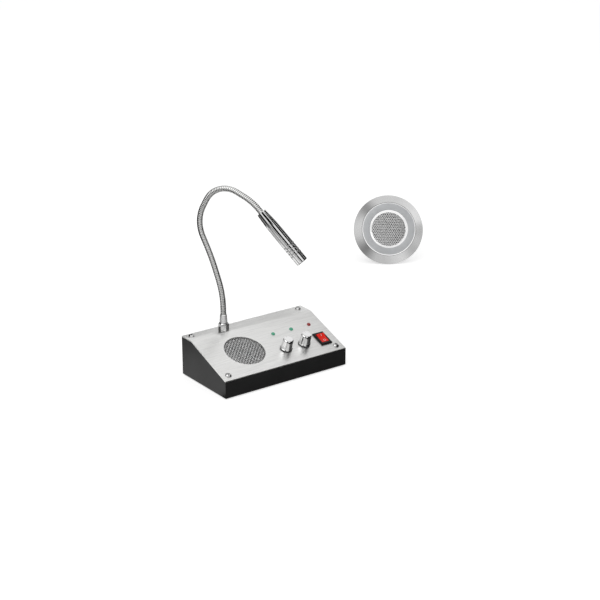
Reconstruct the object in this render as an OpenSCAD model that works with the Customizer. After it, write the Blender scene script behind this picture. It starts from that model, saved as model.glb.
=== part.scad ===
// Teller window intercom: a desk unit with a gooseneck microphone, and the round unit
// that is stuck to the customer's side of the window. Millimetres, +Z up, +X to the
// clerk's right, +Y towards the customer. The origin is on the counter, under the
// middle of the desk unit.

/* [Desk unit body] */
// Width of the desk unit
body_w = 170; // [166:1:220]
// Depth of the desk unit
body_d = 90.5; // [88:0.5:130]
// Height of the panel over the tray's underside, at the back
back_h = 47.2; // [44:0.1:60]
// Height of the panel over the tray's underside, at the front
front_h = 21.1; // [20:0.1:26]
// Depth of the flat strip along the panel's back edge
flat_d = 20.4; // [20:0.1:30]
// Thickness of the folded steel panel
panel_t = 1.2; // [0.8:0.1:1.5]
// Wall of the moulded tray
tray_t = 2; // [1.6:0.1:3]
// Thickness of the rubber feet
foot_h = 1; // [0.6:0.1:4]
// Diameter of a rubber foot
foot_d = 10; // [6:0.5:14]
// Distance of a foot's centre from the tray's sides
foot_inset = 8; // [7.5:0.5:16]
// Depth of the recesses that the feet sit in
foot_recess = 0.6; // [0.3:0.1:1]

/* [Panel screws] */
// Shank diameter of the four panel screws
screw_d = 3.5; // [3:0.1:4]
// Head diameter of the panel screws
screw_head_d = 7; // [6:0.1:8]
// Head height of the panel screws
screw_head_h = 2.2; // [1.5:0.1:3]
// Length of the panel screws under the head
screw_len = 10; // [8:0.5:14]
// Distance of the screws from the panel's sides
screw_side = 9; // [8:0.5:12]
// Distance of the front screws from the front edge, along the slope
screw_front = 8; // [7:0.5:10]
// Distance of the back screws from the back edge
screw_back = 7.3; // [6.5:0.1:9]
// Diameter of the moulded posts that the screws bite in
post_d = 7.4; // [6.5:0.1:9]

/* [Speaker] */
// Distance of the speaker's centre to the left of the panel's middle
speaker_x = 34; // [32:0.5:40]
// Distance of the speaker's centre up the slope from the slope's middle
speaker_v = 1.3; // [-1:0.1:4]
// Diameter of the round hole over the speaker
speaker_hole_d = 48.8; // [44:0.2:50]
// Outer diameter of the speaker's basket
basket_d = 57; // [54:0.5:58]
// Thickness of the mesh disc behind the hole
mesh_t = 0.6; // [0.4:0.1:1]
// Depth of the speaker behind its flange
speaker_depth = 17; // [15:0.5:19]
// Diameter of the speaker's magnet
magnet_d = 28; // [22:1:32]
// Thickness of the speaker's magnet
magnet_t = 6; // [4:0.5:8]
// Diameter of the welded studs that hold the speaker
stud_d = 3; // [2.5:0.1:3]

/* [Controls] */
// Distance of the first knob and lamp to the right of the panel's middle
column_x = 15; // [13:0.5:18]
// Distance between the two knobs, and between the lamps
column_pitch = 26; // [24:0.5:27]
// Distance of the knobs from the front edge, along the slope
knob_v = 24.5; // [22:0.5:27]
// Diameter of the knobs at their foot
knob_d = 14.8; // [14:0.1:18]
// Diameter of the knobs at their top
knob_top_d = 11.4; // [10:0.1:14]
// Height of the knobs
knob_h = 14.6; // [12:0.1:18]
// Gap under the knobs
knob_gap = 0.5; // [0.3:0.1:1]
// Diameter of the potentiometer shafts
shaft_d = 6; // [5:0.1:6.2]
// Diameter of the potentiometers' threaded bushes
bush_d = 7; // [6.9:0.1:7.4]
// Diameter of the potentiometer cans
pot_d = 16.5; // [14:0.5:18]
// Depth of the potentiometer cans
pot_t = 8.5; // [7:0.5:10]
// Distance of the lamps from the front edge, along the slope
lamp_v = 52.3; // [50:0.1:55]
// Diameter of the lamps
lamp_d = 4; // [3:0.1:5]
// Distance of the switch from the front edge, along the slope
switch_v = 24; // [22:0.5:27]
// Width of the switch's frame
switch_w = 15; // [14:0.1:16]
// Length of the switch's frame
switch_l = 21; // [20:0.1:22]
// Height of the switch's frame over the panel
switch_rim = 2; // [1.5:0.1:2.5]
// Angle between the switch's two positions
switch_throw = 20; // [16:1:22]
// Running clearance round shafts and pins
run_gap = 0.05; // [0.02:0.01:0.1]
// Clearance round screws, studs and bushes in their holes
hole_gap = 0.1; // [0.05:0.05:0.2]

/* [Circuit board and sockets] */
// Width of the circuit board
board_w = 70; // [66:1:71]
// Depth of the circuit board
board_l = 72; // [68:1:73]
// Thickness of the circuit boards
board_t = 1.6; // [1:0.1:2]
// Height of the circuit board over the tray's floor
board_lift = 3; // [2.5:0.5:4]
// Distance of the circuit board from the tray's right wall
board_side = 16; // [10:0.5:20]
// Distance of the circuit board from the tray's back wall
board_back = 5.25; // [4:0.25:8]
// Bore of the two audio sockets
audio_bore_d = 3.6; // [3.5:0.05:3.7]
// Depth of the two audio sockets
audio_bore_l = 13; // [10:0.5:13]
// Bore of the power socket
power_bore_d = 5.6; // [5.4:0.1:6.2]
// Centre pin of the power socket
power_pin_d = 2.1; // [1.9:0.1:2.5]

/* [Gooseneck] */
// Distance of the neck to the left of the panel's middle
neck_x = 35.5; // [20:0.5:50]
// Distance of the neck from the back edge
neck_back = 13.2; // [12.8:0.1:13.3]
// Size across the flats of the neck's nut
neck_nut_af = 12.5; // [12:0.1:13]
// Height of the neck's nut
neck_nut_h = 9.5; // [8:0.5:12]
// Diameter of the neck's thread
neck_thread_d = 10; // [9:0.1:10]
// Diameter of the ferrule at its foot
ferrule_d = 9.5; // [9:0.1:11]
// Diameter of the ferrule at its top
ferrule_top_d = 8.3; // [8:0.1:9]
// Height of the ferrule over its nut
ferrule_h = 10.5; // [8:0.5:14]
// Diameter of the gooseneck
neck_d = 7; // [6:0.1:7.4]
// Direction of the bent neck, turned from the front towards the right
neck_side = 35; // [0:1:60]
// Gap between one link's ball end and the next link's cup
cup_gap = 0.4; // [0.3:0.05:0.6]
// Straight stretch at each end of a link
link_end = 4.5; // [4.2:0.1:6]
// Curved length of the first link
run_1 = 35; // [25:0.5:45]
// Curved length of the second link
run_2 = 36.5; // [25:0.5:45]
// Curved length of the third link
run_3 = 38; // [30:0.5:45]
// Curved length of the fourth link
run_4 = 43; // [36:0.5:50]
// Curved length of the fifth link
run_5 = 22.5; // [16:0.5:30]
// Bend of the first link, forwards positive
turn_1 = -16.5; // [-25:0.5:-5]
// Bend of the second link
turn_2 = -6.5; // [-15:0.5:-3]
// Bend of the third link
turn_3 = 50.5; // [35:0.5:55]
// Bend of the fourth link
turn_4 = 89.5; // [70:0.5:95]
// Bend of the fifth link
turn_5 = 20.5; // [5:0.5:30]

/* [Microphone] */
// Length of the microphone
mic_len = 72.5; // [60:0.5:90]
// Diameter of the microphone
mic_d = 14.2; // [13:0.1:15.5]
// Diameter of the microphone at the neck
mic_neck_d = 11.4; // [10:0.1:12]
// Length of the microphone's tapered part
mic_taper = 17; // [14:1:24]
// Length of the microphone's end cap
mic_cap_len = 10; // [8:0.5:12]
// Length of the slotted band behind the end cap
mic_band_len = 16; // [14:0.5:18]
// Rings of slots in the band
mic_slot_rings = 7; // [5:1:8]
// Slots in each ring
mic_slots = 6; // [5:1:7]
// Width of a slot
mic_slot_w = 1.1; // [0.8:0.1:1.2]
// Wall of the microphone's tube
mic_wall = 0.8; // [0.6:0.1:1]
// Depth of the neck in the microphone
mic_grip = 9; // [7:0.5:12]
// Diameter of the microphone capsule
capsule_d = 9.7; // [6:0.1:10]

/* [Outside unit] */
// Distance of the outside unit to the right of the desk unit's middle
outer_x = 371; // [200:1:500]
// Distance of the outside unit behind the desk unit's middle
outer_y = 224.5; // [120:0.5:400]
// Turn of the outside unit about the vertical
outer_turn = -34.5; // [-60:0.5:60]
// Diameter of the outside unit's rim
rim_d = 98; // [94:1:120]
// Thickness of the rim's edge
rim_t = 1.2; // [1:0.1:2]
// Diameter of the ring in the middle
ring_d = 75.4; // [72:0.2:80]
// Height of the ring's face over the rim's back
ring_h = 10; // [9.5:0.1:12]
// Step of the ring over the sloping collar
ring_step = 1; // [0.5:0.1:1.5]
// Diameter of the ring's mouth at its face
mouth_d = 53.6; // [52:0.2:58]
// Diameter of the mesh that shows in the mouth
mouth_mesh_d = 47.2; // [44:0.2:49]
// Diameter of the outside unit's housing
housing_d = 80; // [78:1:84]
// Depth of the housing behind the rim
housing_l = 20; // [18:0.5:30]
// Wall of the housing
housing_t = 2; // [1.5:0.1:2.5]
// Diameter of the outside speaker
outer_speaker_d = 39; // [34:1:40]
// Distance of the outside speaker above the middle
outer_speaker_up = 3.5; // [2:0.5:4]
// Distance of the outside microphone below the middle
outer_mic_down = 20; // [19.8:0.1:20.4]
// Diameter of the adhesive pad
pad_d = 68; // [60:1:72]
// Thickness of the adhesive pad
pad_t = 1; // [0.5:0.1:2]

/* [Hidden] */
$fn = 96;
eps = 0.01;
slope_a = atan((back_h - front_h) / (body_d - flat_d));
slope_len = (body_d - flat_d) / cos(slope_a);
fold_back = panel_t * tan(slope_a / 2);
speaker_at = slope_len / 2 + speaker_v;
floor_z = foot_h + tray_t;
flat_z = foot_h + back_h;
under_z = flat_z - panel_t;
front_under_z = foot_h + front_h - panel_t / cos(slope_a);

// Screws, posts and studs
pilot_r = screw_d / 2 + hole_gap;
small_screw_r = 1.25;
small_head_r = 2.4;
small_head_h = 1.5;
small_post_r = 3;
stud_ring_r = basket_d / 2 + stud_d + 0.2;
flange_t = 0.8;
gasket_t = 0.5;
clip_t = 1;
clip_w = 7;
nut_t = 2.4;
basket_z = -panel_t - mesh_t - gasket_t;
clip_z = basket_z - flange_t;

// Controls
switch_x = column_x + 2 * column_pitch;
switch_body_w = switch_w - 2;
switch_body_l = switch_l - 2;
switch_deep = 12;
well_w = switch_body_w - 2.6;
pivot_z = -1.5;
well_r = switch_body_l / 2 - 1.4;
rocker_r = well_r - 0.3;
rocker_w = well_w - 0.6;
rocker_mid = (switch_rim - pivot_z) / cos(switch_throw / 2);
rocker_foot = 4;
rocker_pin_r = 1;
lamp_deck = 10;
lamp_flange_t = 1;
lamp_rise = 0.6;
lead_r = 0.3;
pot_nut_t = 2;
pot_washer_t = 0.5;
shaft_top = knob_h - 2;
bush_top = pot_washer_t + pot_nut_t + 1;
flat_from = bush_top + 0.3;
knob_well_r = bush_d / 2 + 2.45;

// Circuit board
back_wall = body_d / 2 - tray_t;
board_x = body_w / 2 - tray_t - board_side - board_w;
board_y = back_wall - board_back - board_l;
board_z = floor_z + board_lift;
board_top = board_z + board_t;
socket_lip = 0.5;
audio_size = [8, 12, 8];
power_size = [9, 14, 11];
audio_nose_r = 3;
power_nose_r = 4;
audio_at = [board_x + 18, board_x + 38];
power_at = board_x + 58;
chip_size = [14, 4.5, 11];
chip_lift = 3;
sink_size = [24, 10, 15];
sink_fin = 2;
sink_x = board_x + 18;
sink_y = board_y + 34;
capacitor_d = 8;
capacitor_h = 13;

// Gooseneck
neck_r = neck_d / 2;
cup_r = neck_r + cup_gap;
collar_step = 0.1;
seam = 0.5;
runs = [run_1, run_2, run_3, run_4, run_5];
turns = [turn_1, turn_2, turn_3, turn_4, turn_5];
neck_root = neck_nut_h + ferrule_h + 2;
neck_washer_t = 1;
neck_lock_t = 4;

// Outside unit
outer_tilt = atan((rim_d - housing_d) / 2 / housing_l);
mesh_deck = 5.6;
mesh_disc_t = 0.8;
deck_t = 0.8;
carrier_t = 1.2;
carrier_top = mesh_deck - mesh_disc_t;
outer_screw_ring = housing_d / 2 - housing_t - 5;
outer_post_r = 2.8;
outer_mic_r = 3;

// ---- Places ----

// On the panel's slope: u to the right of the middle, v up from the front edge,
// h out of its face.
module on_slope(u, v, h = 0) {
  translate([0, -body_d / 2, foot_h + front_h])
    rotate([slope_a, 0, 0])
      translate([u, v, h])
        children();
}

// On the flat strip: u to the right of the middle, w in from the back edge.
module on_flat(u, w, h = 0) {
  translate([u, body_d / 2 - w, flat_z + h])
    children();
}

// Each of the panel's four screws, its axis out of the panel.
module at_screws() {
  for (u = [screw_side - body_w / 2, body_w / 2 - screw_side]) {
    on_slope(u, screw_front) children();
    on_flat(u, screw_back) children();
  }
}

// Each of the four studs round the speaker, +X pointing away from the speaker.
module at_speaker_studs() {
  on_slope(-speaker_x, speaker_at)
    for (k = [0:3])
      rotate([0, 0, 45 + 90 * k])
        translate([stud_ring_r, 0, 0])
          children();
}

module at_knob(k) {
  on_slope(column_x + k * column_pitch, knob_v) children();
}

module at_lamp(k) {
  on_slope(column_x + k * column_pitch, lamp_v) children();
}

module at_lamp_posts() {
  for (k = [0.5, 1.5])
    on_slope(column_x + k * column_pitch, lamp_v) children();
}

module at_feet() {
  for (x = [-1, 1], y = [-1, 1])
    translate([x * (body_w / 2 - foot_inset), y * (body_d / 2 - foot_inset), 0])
      children();
}

module at_board_corners() {
  for (x = [4, board_w - 4], y = [4, board_l - 4])
    translate([board_x + x, board_y + y, 0])
      children();
}

// ---- Small shapes ----

module ring(r_out, r_in, h) {
  rotate_extrude()
    translate([r_in, 0])
      square([r_out - r_in, h]);
}

module hex(across_flats, h, bore_r) {
  difference() {
    cylinder(r = across_flats / 2 / cos(30), h = h, $fn = 6);
    translate([0, 0, -1])
      cylinder(r = bore_r, h = h + 2);
  }
}

// A pan-head screw with a cross recess, its head's seat at z = 0.
module pan_screw(shank_r, head_r, head_h, len) {
  difference() {
    rotate_extrude()
      polygon([[0, -len], [shank_r, -len], [shank_r, 0], [head_r, 0],
        [head_r, head_h * 0.45], [head_r * 0.82, head_h * 0.85],
        [head_r * 0.55, head_h], [0, head_h]]);
    for (a = [0, 90])
      rotate([0, 0, a])
        translate([-head_r * 0.5, -head_r * 0.1, head_h * 0.35])
          cube([head_r, head_r * 0.2, head_h]);
  }
}

// A cone speaker's parts share one set of sizes: the basket's outer radius, the
// magnet's radius and the depth, all from the flange's face at z = 0 downwards.
module basket(r, throat_r, depth) {
  difference() {
    rotate_extrude()
      polygon([[r, 0], [r, -flange_t], [r - 3, -flange_t], [throat_r + 1, -depth],
        [throat_r - 3, -depth], [throat_r - 3, -depth + 1], [throat_r, -depth + 1],
        [r - 4, -flange_t], [r - 4, 0]]);
    for (k = [0:3])
      rotate([0, 0, 90 * k])
        translate([throat_r - 3.5, -4, -depth + 2.2])
          cube([r, 8, depth - flange_t - 4.4]);
  }
}

module cone(r, throat_r, depth) {
  rotate_extrude()
    polygon([[r - 4.3, -0.2], [r - 4.3, -0.8], [throat_r - 4.2, -depth + 3],
      [0, -depth + 3], [0, -depth + 6.4], [throat_r - 6.6, -depth + 5.6],
      [throat_r - 4.4, -depth + 3.8]]);
}

// ---- Desk unit: tray and panel ----

module side_profile(inset, top) {
  polygon([[-body_d / 2 + inset, foot_h + inset],
    [body_d / 2 - inset, foot_h + inset],
    [body_d / 2 - inset, under_z + top],
    [body_d / 2 - flat_d + fold_back, under_z + top],
    [-body_d / 2 + inset, front_under_z + inset * tan(slope_a) + top]]);
}

module across(w) {
  rotate([90, 0, 90])
    translate([0, 0, -w / 2])
      linear_extrude(height = w)
        children();
}

module tray_posts() {
  intersection() {
    union() {
      for (u = [screw_side - body_w / 2, body_w / 2 - screw_side]) {
        on_slope(u, screw_front, -panel_t - back_h)
          cylinder(d = post_d, h = back_h);
        on_flat(u, screw_back, -panel_t - back_h)
          cylinder(d = post_d, h = back_h);
      }
      for (s = [-1, 1])
        translate([s * (body_w / 2 - screw_side / 2) - screw_side / 2,
          body_d / 2 - screw_back - 1, foot_h])
          cube([screw_side, 2, back_h - panel_t]);
    }
    across(body_w - tray_t) side_profile(tray_t / 2, 0);
  }
}

module base_tray() color([0.16, 0.16, 0.17]) {
  difference() {
    union() {
      difference() {
        across(body_w) side_profile(0, 0);
        across(body_w - 2 * tray_t) side_profile(tray_t, 5);
      }
      tray_posts();
      at_board_corners()
        translate([0, 0, foot_h + tray_t / 2])
          cylinder(r = small_post_r, h = board_z - foot_h - tray_t / 2);
    }
    at_screws()
      translate([0, 0, -panel_t - screw_len])
        cylinder(r = pilot_r, h = screw_len + 1);
    at_feet()
      cylinder(r = foot_d / 2 + hole_gap, h = foot_h + foot_recess);
    at_board_corners()
      translate([0, 0, floor_z - 1])
        cylinder(r = small_screw_r + hole_gap / 2, h = board_lift + 2);
    for (x = audio_at)
      translate([x, back_wall - 1, board_top + audio_size.z / 2])
        rotate([-90, 0, 0])
          cylinder(r = audio_nose_r + hole_gap, h = tray_t + 2);
    translate([power_at, back_wall - 1, board_top + power_size.z / 2])
      rotate([-90, 0, 0])
        cylinder(r = power_nose_r + hole_gap, h = tray_t + 2);
  }
}

module rubber_feet() color([0.07, 0.07, 0.07]) {
  at_feet()
    cylinder(d = foot_d, h = foot_h + foot_recess);
}

module top_panel() color([0.84, 0.84, 0.83]) {
  difference() {
    across(body_w)
      polygon([[-body_d / 2, front_under_z],
        [body_d / 2 - flat_d + fold_back, under_z],
        [body_d / 2, under_z], [body_d / 2, flat_z],
        [body_d / 2 - flat_d, flat_z], [-body_d / 2, foot_h + front_h]]);
    at_screws()
      translate([0, 0, -panel_t - 1])
        cylinder(r = pilot_r, h = panel_t + 2);
    on_slope(-speaker_x, speaker_at, -panel_t - 1)
      cylinder(d = speaker_hole_d, h = panel_t + 2);
    for (k = [0, 1])
      at_knob(k)
        translate([0, 0, -panel_t - 1])
          cylinder(r = bush_d / 2 + hole_gap, h = panel_t + 2);
    for (k = [0:2])
      at_lamp(k)
        translate([0, 0, -panel_t - 1])
          cylinder(r = lamp_d / 2 + hole_gap, h = panel_t + 2);
    on_slope(switch_x, switch_v, -panel_t - 1)
      translate([-switch_body_w / 2 - hole_gap, -switch_body_l / 2 - hole_gap, 0])
        cube([switch_body_w + 2 * hole_gap, switch_body_l + 2 * hole_gap, panel_t + 2]);
    on_flat(-neck_x, neck_back, -panel_t - 1)
      cylinder(r = neck_thread_d / 2 + hole_gap, h = panel_t + 2);
  }
  at_speaker_studs()
    translate([0, 0, clip_z - clip_t - nut_t - 1])
      cylinder(d = stud_d, h = -clip_z - panel_t / 2 + clip_t + nut_t + 1);
}

module panel_screws() color([0.8, 0.8, 0.8]) {
  at_screws()
    pan_screw(screw_d / 2, screw_head_d / 2, screw_head_h, panel_t + screw_len - 1);
}

// ---- Desk unit: speaker ----

module speaker_mesh() color([0.5, 0.5, 0.5]) {
  on_slope(-speaker_x, speaker_at, -panel_t - mesh_t)
    cylinder(d = basket_d - 1, h = mesh_t);
}

module speaker_surround() color([0.1, 0.1, 0.1]) {
  on_slope(-speaker_x, speaker_at, basket_z)
    ring(basket_d / 2, basket_d / 2 - 5.5, gasket_t);
}

module speaker_basket() color([0.45, 0.45, 0.47]) {
  on_slope(-speaker_x, speaker_at, basket_z)
    basket(basket_d / 2, magnet_d / 2 - 1, speaker_depth - magnet_t);
}

module speaker_cone() color([0.12, 0.12, 0.12]) {
  on_slope(-speaker_x, speaker_at, basket_z)
    cone(basket_d / 2, magnet_d / 2 - 1, speaker_depth - magnet_t);
}

module speaker_magnet() color([0.25, 0.25, 0.27]) {
  on_slope(-speaker_x, speaker_at, basket_z - speaker_depth)
    cylinder(d = magnet_d, h = magnet_t);
}

module speaker_clips() color([0.75, 0.75, 0.76]) {
  at_speaker_studs()
    difference() {
      union() {
        translate([-stud_d - 1, -clip_w / 2, clip_z - clip_t])
          cube([stud_d + 4, clip_w, clip_t]);
        translate([-stud_d + 0.2, -clip_w / 2, clip_z - clip_t])
          cube([stud_d + 2.8, clip_w, clip_t - clip_z - panel_t]);
      }
      translate([0, 0, clip_z - clip_t - 1])
        cylinder(r = stud_d / 2 + hole_gap, h = clip_t - clip_z + 2);
    }
}

module speaker_nuts() color([0.7, 0.7, 0.72]) {
  at_speaker_studs()
    translate([0, 0, clip_z - clip_t - nut_t])
      hex(stud_d + 2.5, nut_t, stud_d / 2 + run_gap);
}

// ---- Desk unit: controls ----

module pots() color([0.6, 0.6, 0.62]) {
  for (k = [0, 1])
    at_knob(k)
      difference() {
        union() {
          translate([0, 0, -panel_t - pot_t])
            cylinder(d = pot_d, h = pot_t);
          translate([0, 0, -panel_t - 1])
            cylinder(d = bush_d, h = panel_t + 1 + bush_top);
          for (x = [-5, 0, 5])
            translate([x - 0.6, pot_d / 2 - 3, -panel_t - pot_t + 1])
              cube([1.2, 6, 0.5]);
        }
        translate([0, 0, -panel_t - pot_t + 1])
          cylinder(r = shaft_d / 2 + run_gap, h = pot_t + bush_top + 5);
      }
}

module pot_washers() color([0.75, 0.75, 0.76]) {
  for (k = [0, 1])
    at_knob(k) ring(bush_d / 2 + 1.9, bush_d / 2 + hole_gap, pot_washer_t);
}

module pot_nuts() color([0.7, 0.7, 0.72]) {
  for (k = [0, 1])
    at_knob(k)
      translate([0, 0, pot_washer_t])
        hex((bush_d / 2 + 2.2) * 2 * cos(30), pot_nut_t, bush_d / 2 + run_gap);
}

module shaft(k) {
  at_knob(k)
    difference() {
      translate([0, 0, -panel_t - pot_t + 1.5])
        cylinder(d = shaft_d, h = panel_t + pot_t - 1.5 + shaft_top);
      translate([-shaft_d, shaft_d / 4, flat_from])
        cube([2 * shaft_d, shaft_d, knob_h]);
    }
}

module shaft_left() color([0.78, 0.78, 0.78]) shaft(0);

module shaft_right() color([0.78, 0.78, 0.78]) shaft(1);

module knob(k) {
  well_top = bush_top + 0.6;
  at_knob(k)
    difference() {
      rotate_extrude()
        difference() {
          polygon([[0, knob_gap], [knob_d / 2, knob_gap], [knob_d / 2, knob_gap + 0.8],
            [knob_d / 2 - 0.5, knob_gap + 1.6], [knob_top_d / 2 + 0.25, knob_h - 1.2],
            [knob_top_d / 2 - 0.35, knob_h - 0.3], [knob_top_d / 2 - 1.1, knob_h],
            [0, knob_h]]);
          translate([0, knob_gap - 1])
            square([knob_well_r, well_top - knob_gap + 1]);
        }
      difference() {
        translate([0, 0, well_top - 0.5])
          cylinder(r = shaft_d / 2 + run_gap, h = shaft_top - well_top + 0.8);
        translate([-shaft_d, shaft_d / 4 + run_gap, well_top])
          cube([2 * shaft_d, shaft_d, knob_h]);
      }
      translate([-0.4, knob_top_d / 2 - 3.2, knob_h - 0.6])
        cube([0.8, knob_d, 2]);
    }
}

module knob_left() color([0.85, 0.85, 0.86]) knob(0);

module knob_right() color([0.85, 0.85, 0.86]) knob(1);

module lamp(k) {
  at_lamp(k) {
    rotate_extrude()
      polygon([[0, -panel_t - lamp_flange_t], [lamp_d / 2 + 0.4, -panel_t - lamp_flange_t],
        [lamp_d / 2 + 0.4, -panel_t], [lamp_d / 2, -panel_t], [lamp_d / 2, 0.2],
        [lamp_d / 2 * 0.86, 0.2 + lamp_rise * 0.5], [lamp_d / 2 * 0.5, 0.2 + lamp_rise * 0.9],
        [0, 0.2 + lamp_rise]]);
    for (x = [-1.27, 1.27])
      translate([x, 0, -lamp_deck - board_t - 0.6])
        cylinder(r = lead_r, h = lamp_deck + board_t + 0.6 - panel_t - lamp_flange_t + eps);
  }
}

module green_lamps() color([0.2, 0.6, 0.4]) {
  lamp(0);
  lamp(1);
}

module red_lamp() color([0.6, 0.15, 0.15]) lamp(2);

module lamp_board() color([0.1, 0.35, 0.2]) {
  difference() {
    on_slope(column_x - 7, lamp_v - 5, -lamp_deck - board_t)
      cube([2 * column_pitch + 14, 10, board_t]);
    at_lamp_posts()
      translate([0, 0, -lamp_deck - board_t - 1])
        cylinder(r = 1.4 + run_gap, h = board_t + 2);
    for (k = [0:2], x = [-1.27, 1.27])
      at_lamp(k)
        translate([x, 0, -lamp_deck - board_t - 1])
          cylinder(r = lead_r + hole_gap, h = board_t + 2);
  }
}

module lamp_posts() color([0.85, 0.85, 0.82]) {
  at_lamp_posts() {
    translate([0, 0, -lamp_deck])
      cylinder(r = 2.5, h = lamp_deck - panel_t);
    translate([0, 0, -lamp_deck - board_t - 0.8])
      cylinder(r = 1.4, h = board_t + 0.8 + eps);
  }
}

module switch_body() color([0.06, 0.06, 0.06]) {
  on_slope(switch_x, switch_v)
    difference() {
      union() {
        translate([-switch_w / 2, -switch_l / 2, 0])
          cube([switch_w, switch_l, switch_rim - 0.6]);
        translate([-switch_w / 2 + 0.6, -switch_l / 2 + 0.6, switch_rim - 0.6 - eps])
          cube([switch_w - 1.2, switch_l - 1.2, 0.6 + eps]);
        translate([-switch_body_w / 2, -switch_body_l / 2, -switch_deep])
          cube([switch_body_w, switch_body_l, switch_deep + eps]);
      }
      intersection() {
        translate([-well_w / 2, 0, pivot_z])
          rotate([0, 90, 0])
            cylinder(r = well_r, h = well_w);
        translate([-switch_w, -switch_l, pivot_z - rocker_foot - 1.2])
          cube([2 * switch_w, 2 * switch_l, 20]);
      }
      translate([-switch_body_w / 2 + 0.4, 0, pivot_z])
        rotate([0, 90, 0])
          cylinder(r = rocker_pin_r + run_gap, h = switch_body_w - 0.8);
    }
}

// The rocker rests with its front half pressed in, level with the frame.
module switch_rocker() color([0.85, 0.12, 0.14]) {
  half = switch_throw / 2;
  on_slope(switch_x, switch_v, pivot_z)
    rotate([half, 0, 0]) {
      translate([-rocker_w / 2, 0, 0])
        rotate([90, 0, 90])
          linear_extrude(height = rocker_w)
            intersection() {
              circle(r = rocker_r);
              polygon([[-rocker_r - 1, -rocker_foot], [rocker_r + 1, -rocker_foot],
                [rocker_r + 1, rocker_mid + (rocker_r + 1) * tan(half)], [0, rocker_mid],
                [-rocker_r - 1, rocker_mid + (rocker_r + 1) * tan(half)]]);
            }
      translate([-switch_body_w / 2 + 0.6, 0, 0])
        rotate([0, 90, 0])
          cylinder(r = rocker_pin_r, h = switch_body_w - 1.2);
    }
}

module switch_blades() color([0.75, 0.65, 0.4]) {
  on_slope(switch_x, switch_v, -switch_deep - 6)
    for (y = [-6, 0, 6])
      translate([-2.4, y - 0.4, 0])
        cube([4.8, 0.8, 6]);
}

// ---- Desk unit: circuit board ----

module main_board() color([0.1, 0.4, 0.22]) {
  difference() {
    translate([board_x, board_y, board_z])
      cube([board_w, board_l, board_t]);
    at_board_corners()
      translate([0, 0, board_z - 1])
        cylinder(r = small_screw_r + hole_gap, h = board_t + 2);
  }
}

module board_screws() color([0.7, 0.7, 0.72]) {
  at_board_corners()
    translate([0, 0, board_top])
      pan_screw(small_screw_r, small_head_r, small_head_h, board_t + board_lift);
}

module amplifier_chip() color([0.08, 0.08, 0.08]) {
  translate([sink_x + (sink_size.x - chip_size.x) / 2, sink_y - chip_size.y, board_top]) {
    translate([0, 0, chip_lift])
      cube(chip_size);
    for (k = [-2:2])
      translate([chip_size.x / 2 + 2.7 * k - 0.3, 1.8, 0])
        cube([0.6, 0.6, chip_lift + eps]);
  }
}

module heat_sink() color([0.65, 0.65, 0.67]) {
  translate([sink_x, sink_y, board_top]) {
    cube([sink_size.x, sink_fin, sink_size.z]);
    for (k = [0:5])
      translate([k * (sink_size.x - sink_fin) / 5, sink_fin - eps, 0])
        cube([sink_fin, sink_size.y - sink_fin + eps, sink_size.z]);
  }
}

module capacitors() color([0.12, 0.13, 0.3]) {
  for (k = [0:2])
    translate([board_x + 11 + 1.5 * capacitor_d * k, sink_y + 20, board_top])
      cylinder(d = capacitor_d, h = capacitor_h);
}

module lead_sockets() color([0.9, 0.9, 0.86]) {
  for (y = [10, 20, 30])
    translate([board_x + 2, board_y + y, board_top])
      difference() {
        cube([4.5, 7, 6]);
        translate([0.8, 0.8, 1.5])
          cube([2.9, 5.4, 6]);
      }
}

module power_socket() color([0.08, 0.08, 0.08]) {
  translate([power_at, back_wall, board_top + power_size.z / 2]) {
    difference() {
      union() {
        translate([-power_size.x / 2, -power_size.y, -power_size.z / 2])
          cube(power_size);
        rotate([-90, 0, 0])
          translate([0, 0, -1])
            cylinder(r = power_nose_r, h = tray_t + socket_lip + 1);
      }
      rotate([-90, 0, 0])
        translate([0, 0, -10])
          cylinder(d = power_bore_d, h = 20);
    }
    rotate([-90, 0, 0])
      translate([0, 0, -10 - eps])
        cylinder(d = power_pin_d, h = 10 + tray_t - 0.5);
  }
}

module audio_sockets() color([0.08, 0.08, 0.08]) {
  for (x = audio_at)
    translate([x, back_wall, board_top + audio_size.z / 2])
      difference() {
        union() {
          translate([-audio_size.x / 2, -audio_size.y, -audio_size.z / 2])
            cube(audio_size);
          rotate([-90, 0, 0])
            translate([0, 0, -1])
              cylinder(r = audio_nose_r, h = tray_t + socket_lip + 1);
        }
        translate([0, tray_t + socket_lip - audio_bore_l, 0])
          rotate([-90, 0, 0])
            cylinder(d = audio_bore_d, h = audio_bore_l + 1);
      }
}

// ---- Gooseneck ----

// The neck bends in one upright plane: s runs forwards in it and z up from the panel.
function heading(k) = k == 0 ? 0 : heading(k - 1) + turns[k - 1];
function radius(k) = runs[k] * 180 / PI / turns[k];
function along(len, a) = [len * sin(a), len * cos(a)];
function chord(k) = along(2 * radius(k) * sin(turns[k] / 2), heading(k) + turns[k] / 2);
function joint_at(k) = k == 0 ? [0, neck_root]
  : joint_at(k - 1) + along(link_end, heading(k - 1)) + chord(k - 1)
    + along(link_end, heading(k));

module at_joint(k) {
  on_flat(-neck_x, neck_back)
    rotate([0, 0, neck_side - 90])
      translate([joint_at(k).x, 0, joint_at(k).y])
        rotate([0, heading(k), 0])
          children();
}

// A tube that starts at the origin along +Z and bends towards +X for a positive turn.
module bend(k) {
  r = abs(radius(k));
  mirror([turns[k] > 0 ? 1 : 0, 0, 0])
    rotate([90, 0, 0])
      translate([-r, 0, 0])
        rotate_extrude(angle = abs(turns[k]))
          translate([r, 0])
            circle(r = neck_r - collar_step);
}

module cup_end() {
  rotate_extrude()
    difference() {
      square([neck_r, link_end + seam]);
      circle(r = cup_r);
    }
}

module ball_end(len) {
  rotate_extrude() {
    square([neck_r, len]);
    translate([0, len])
      intersection() {
        circle(r = neck_r);
        square(neck_r);
      }
  }
}

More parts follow.
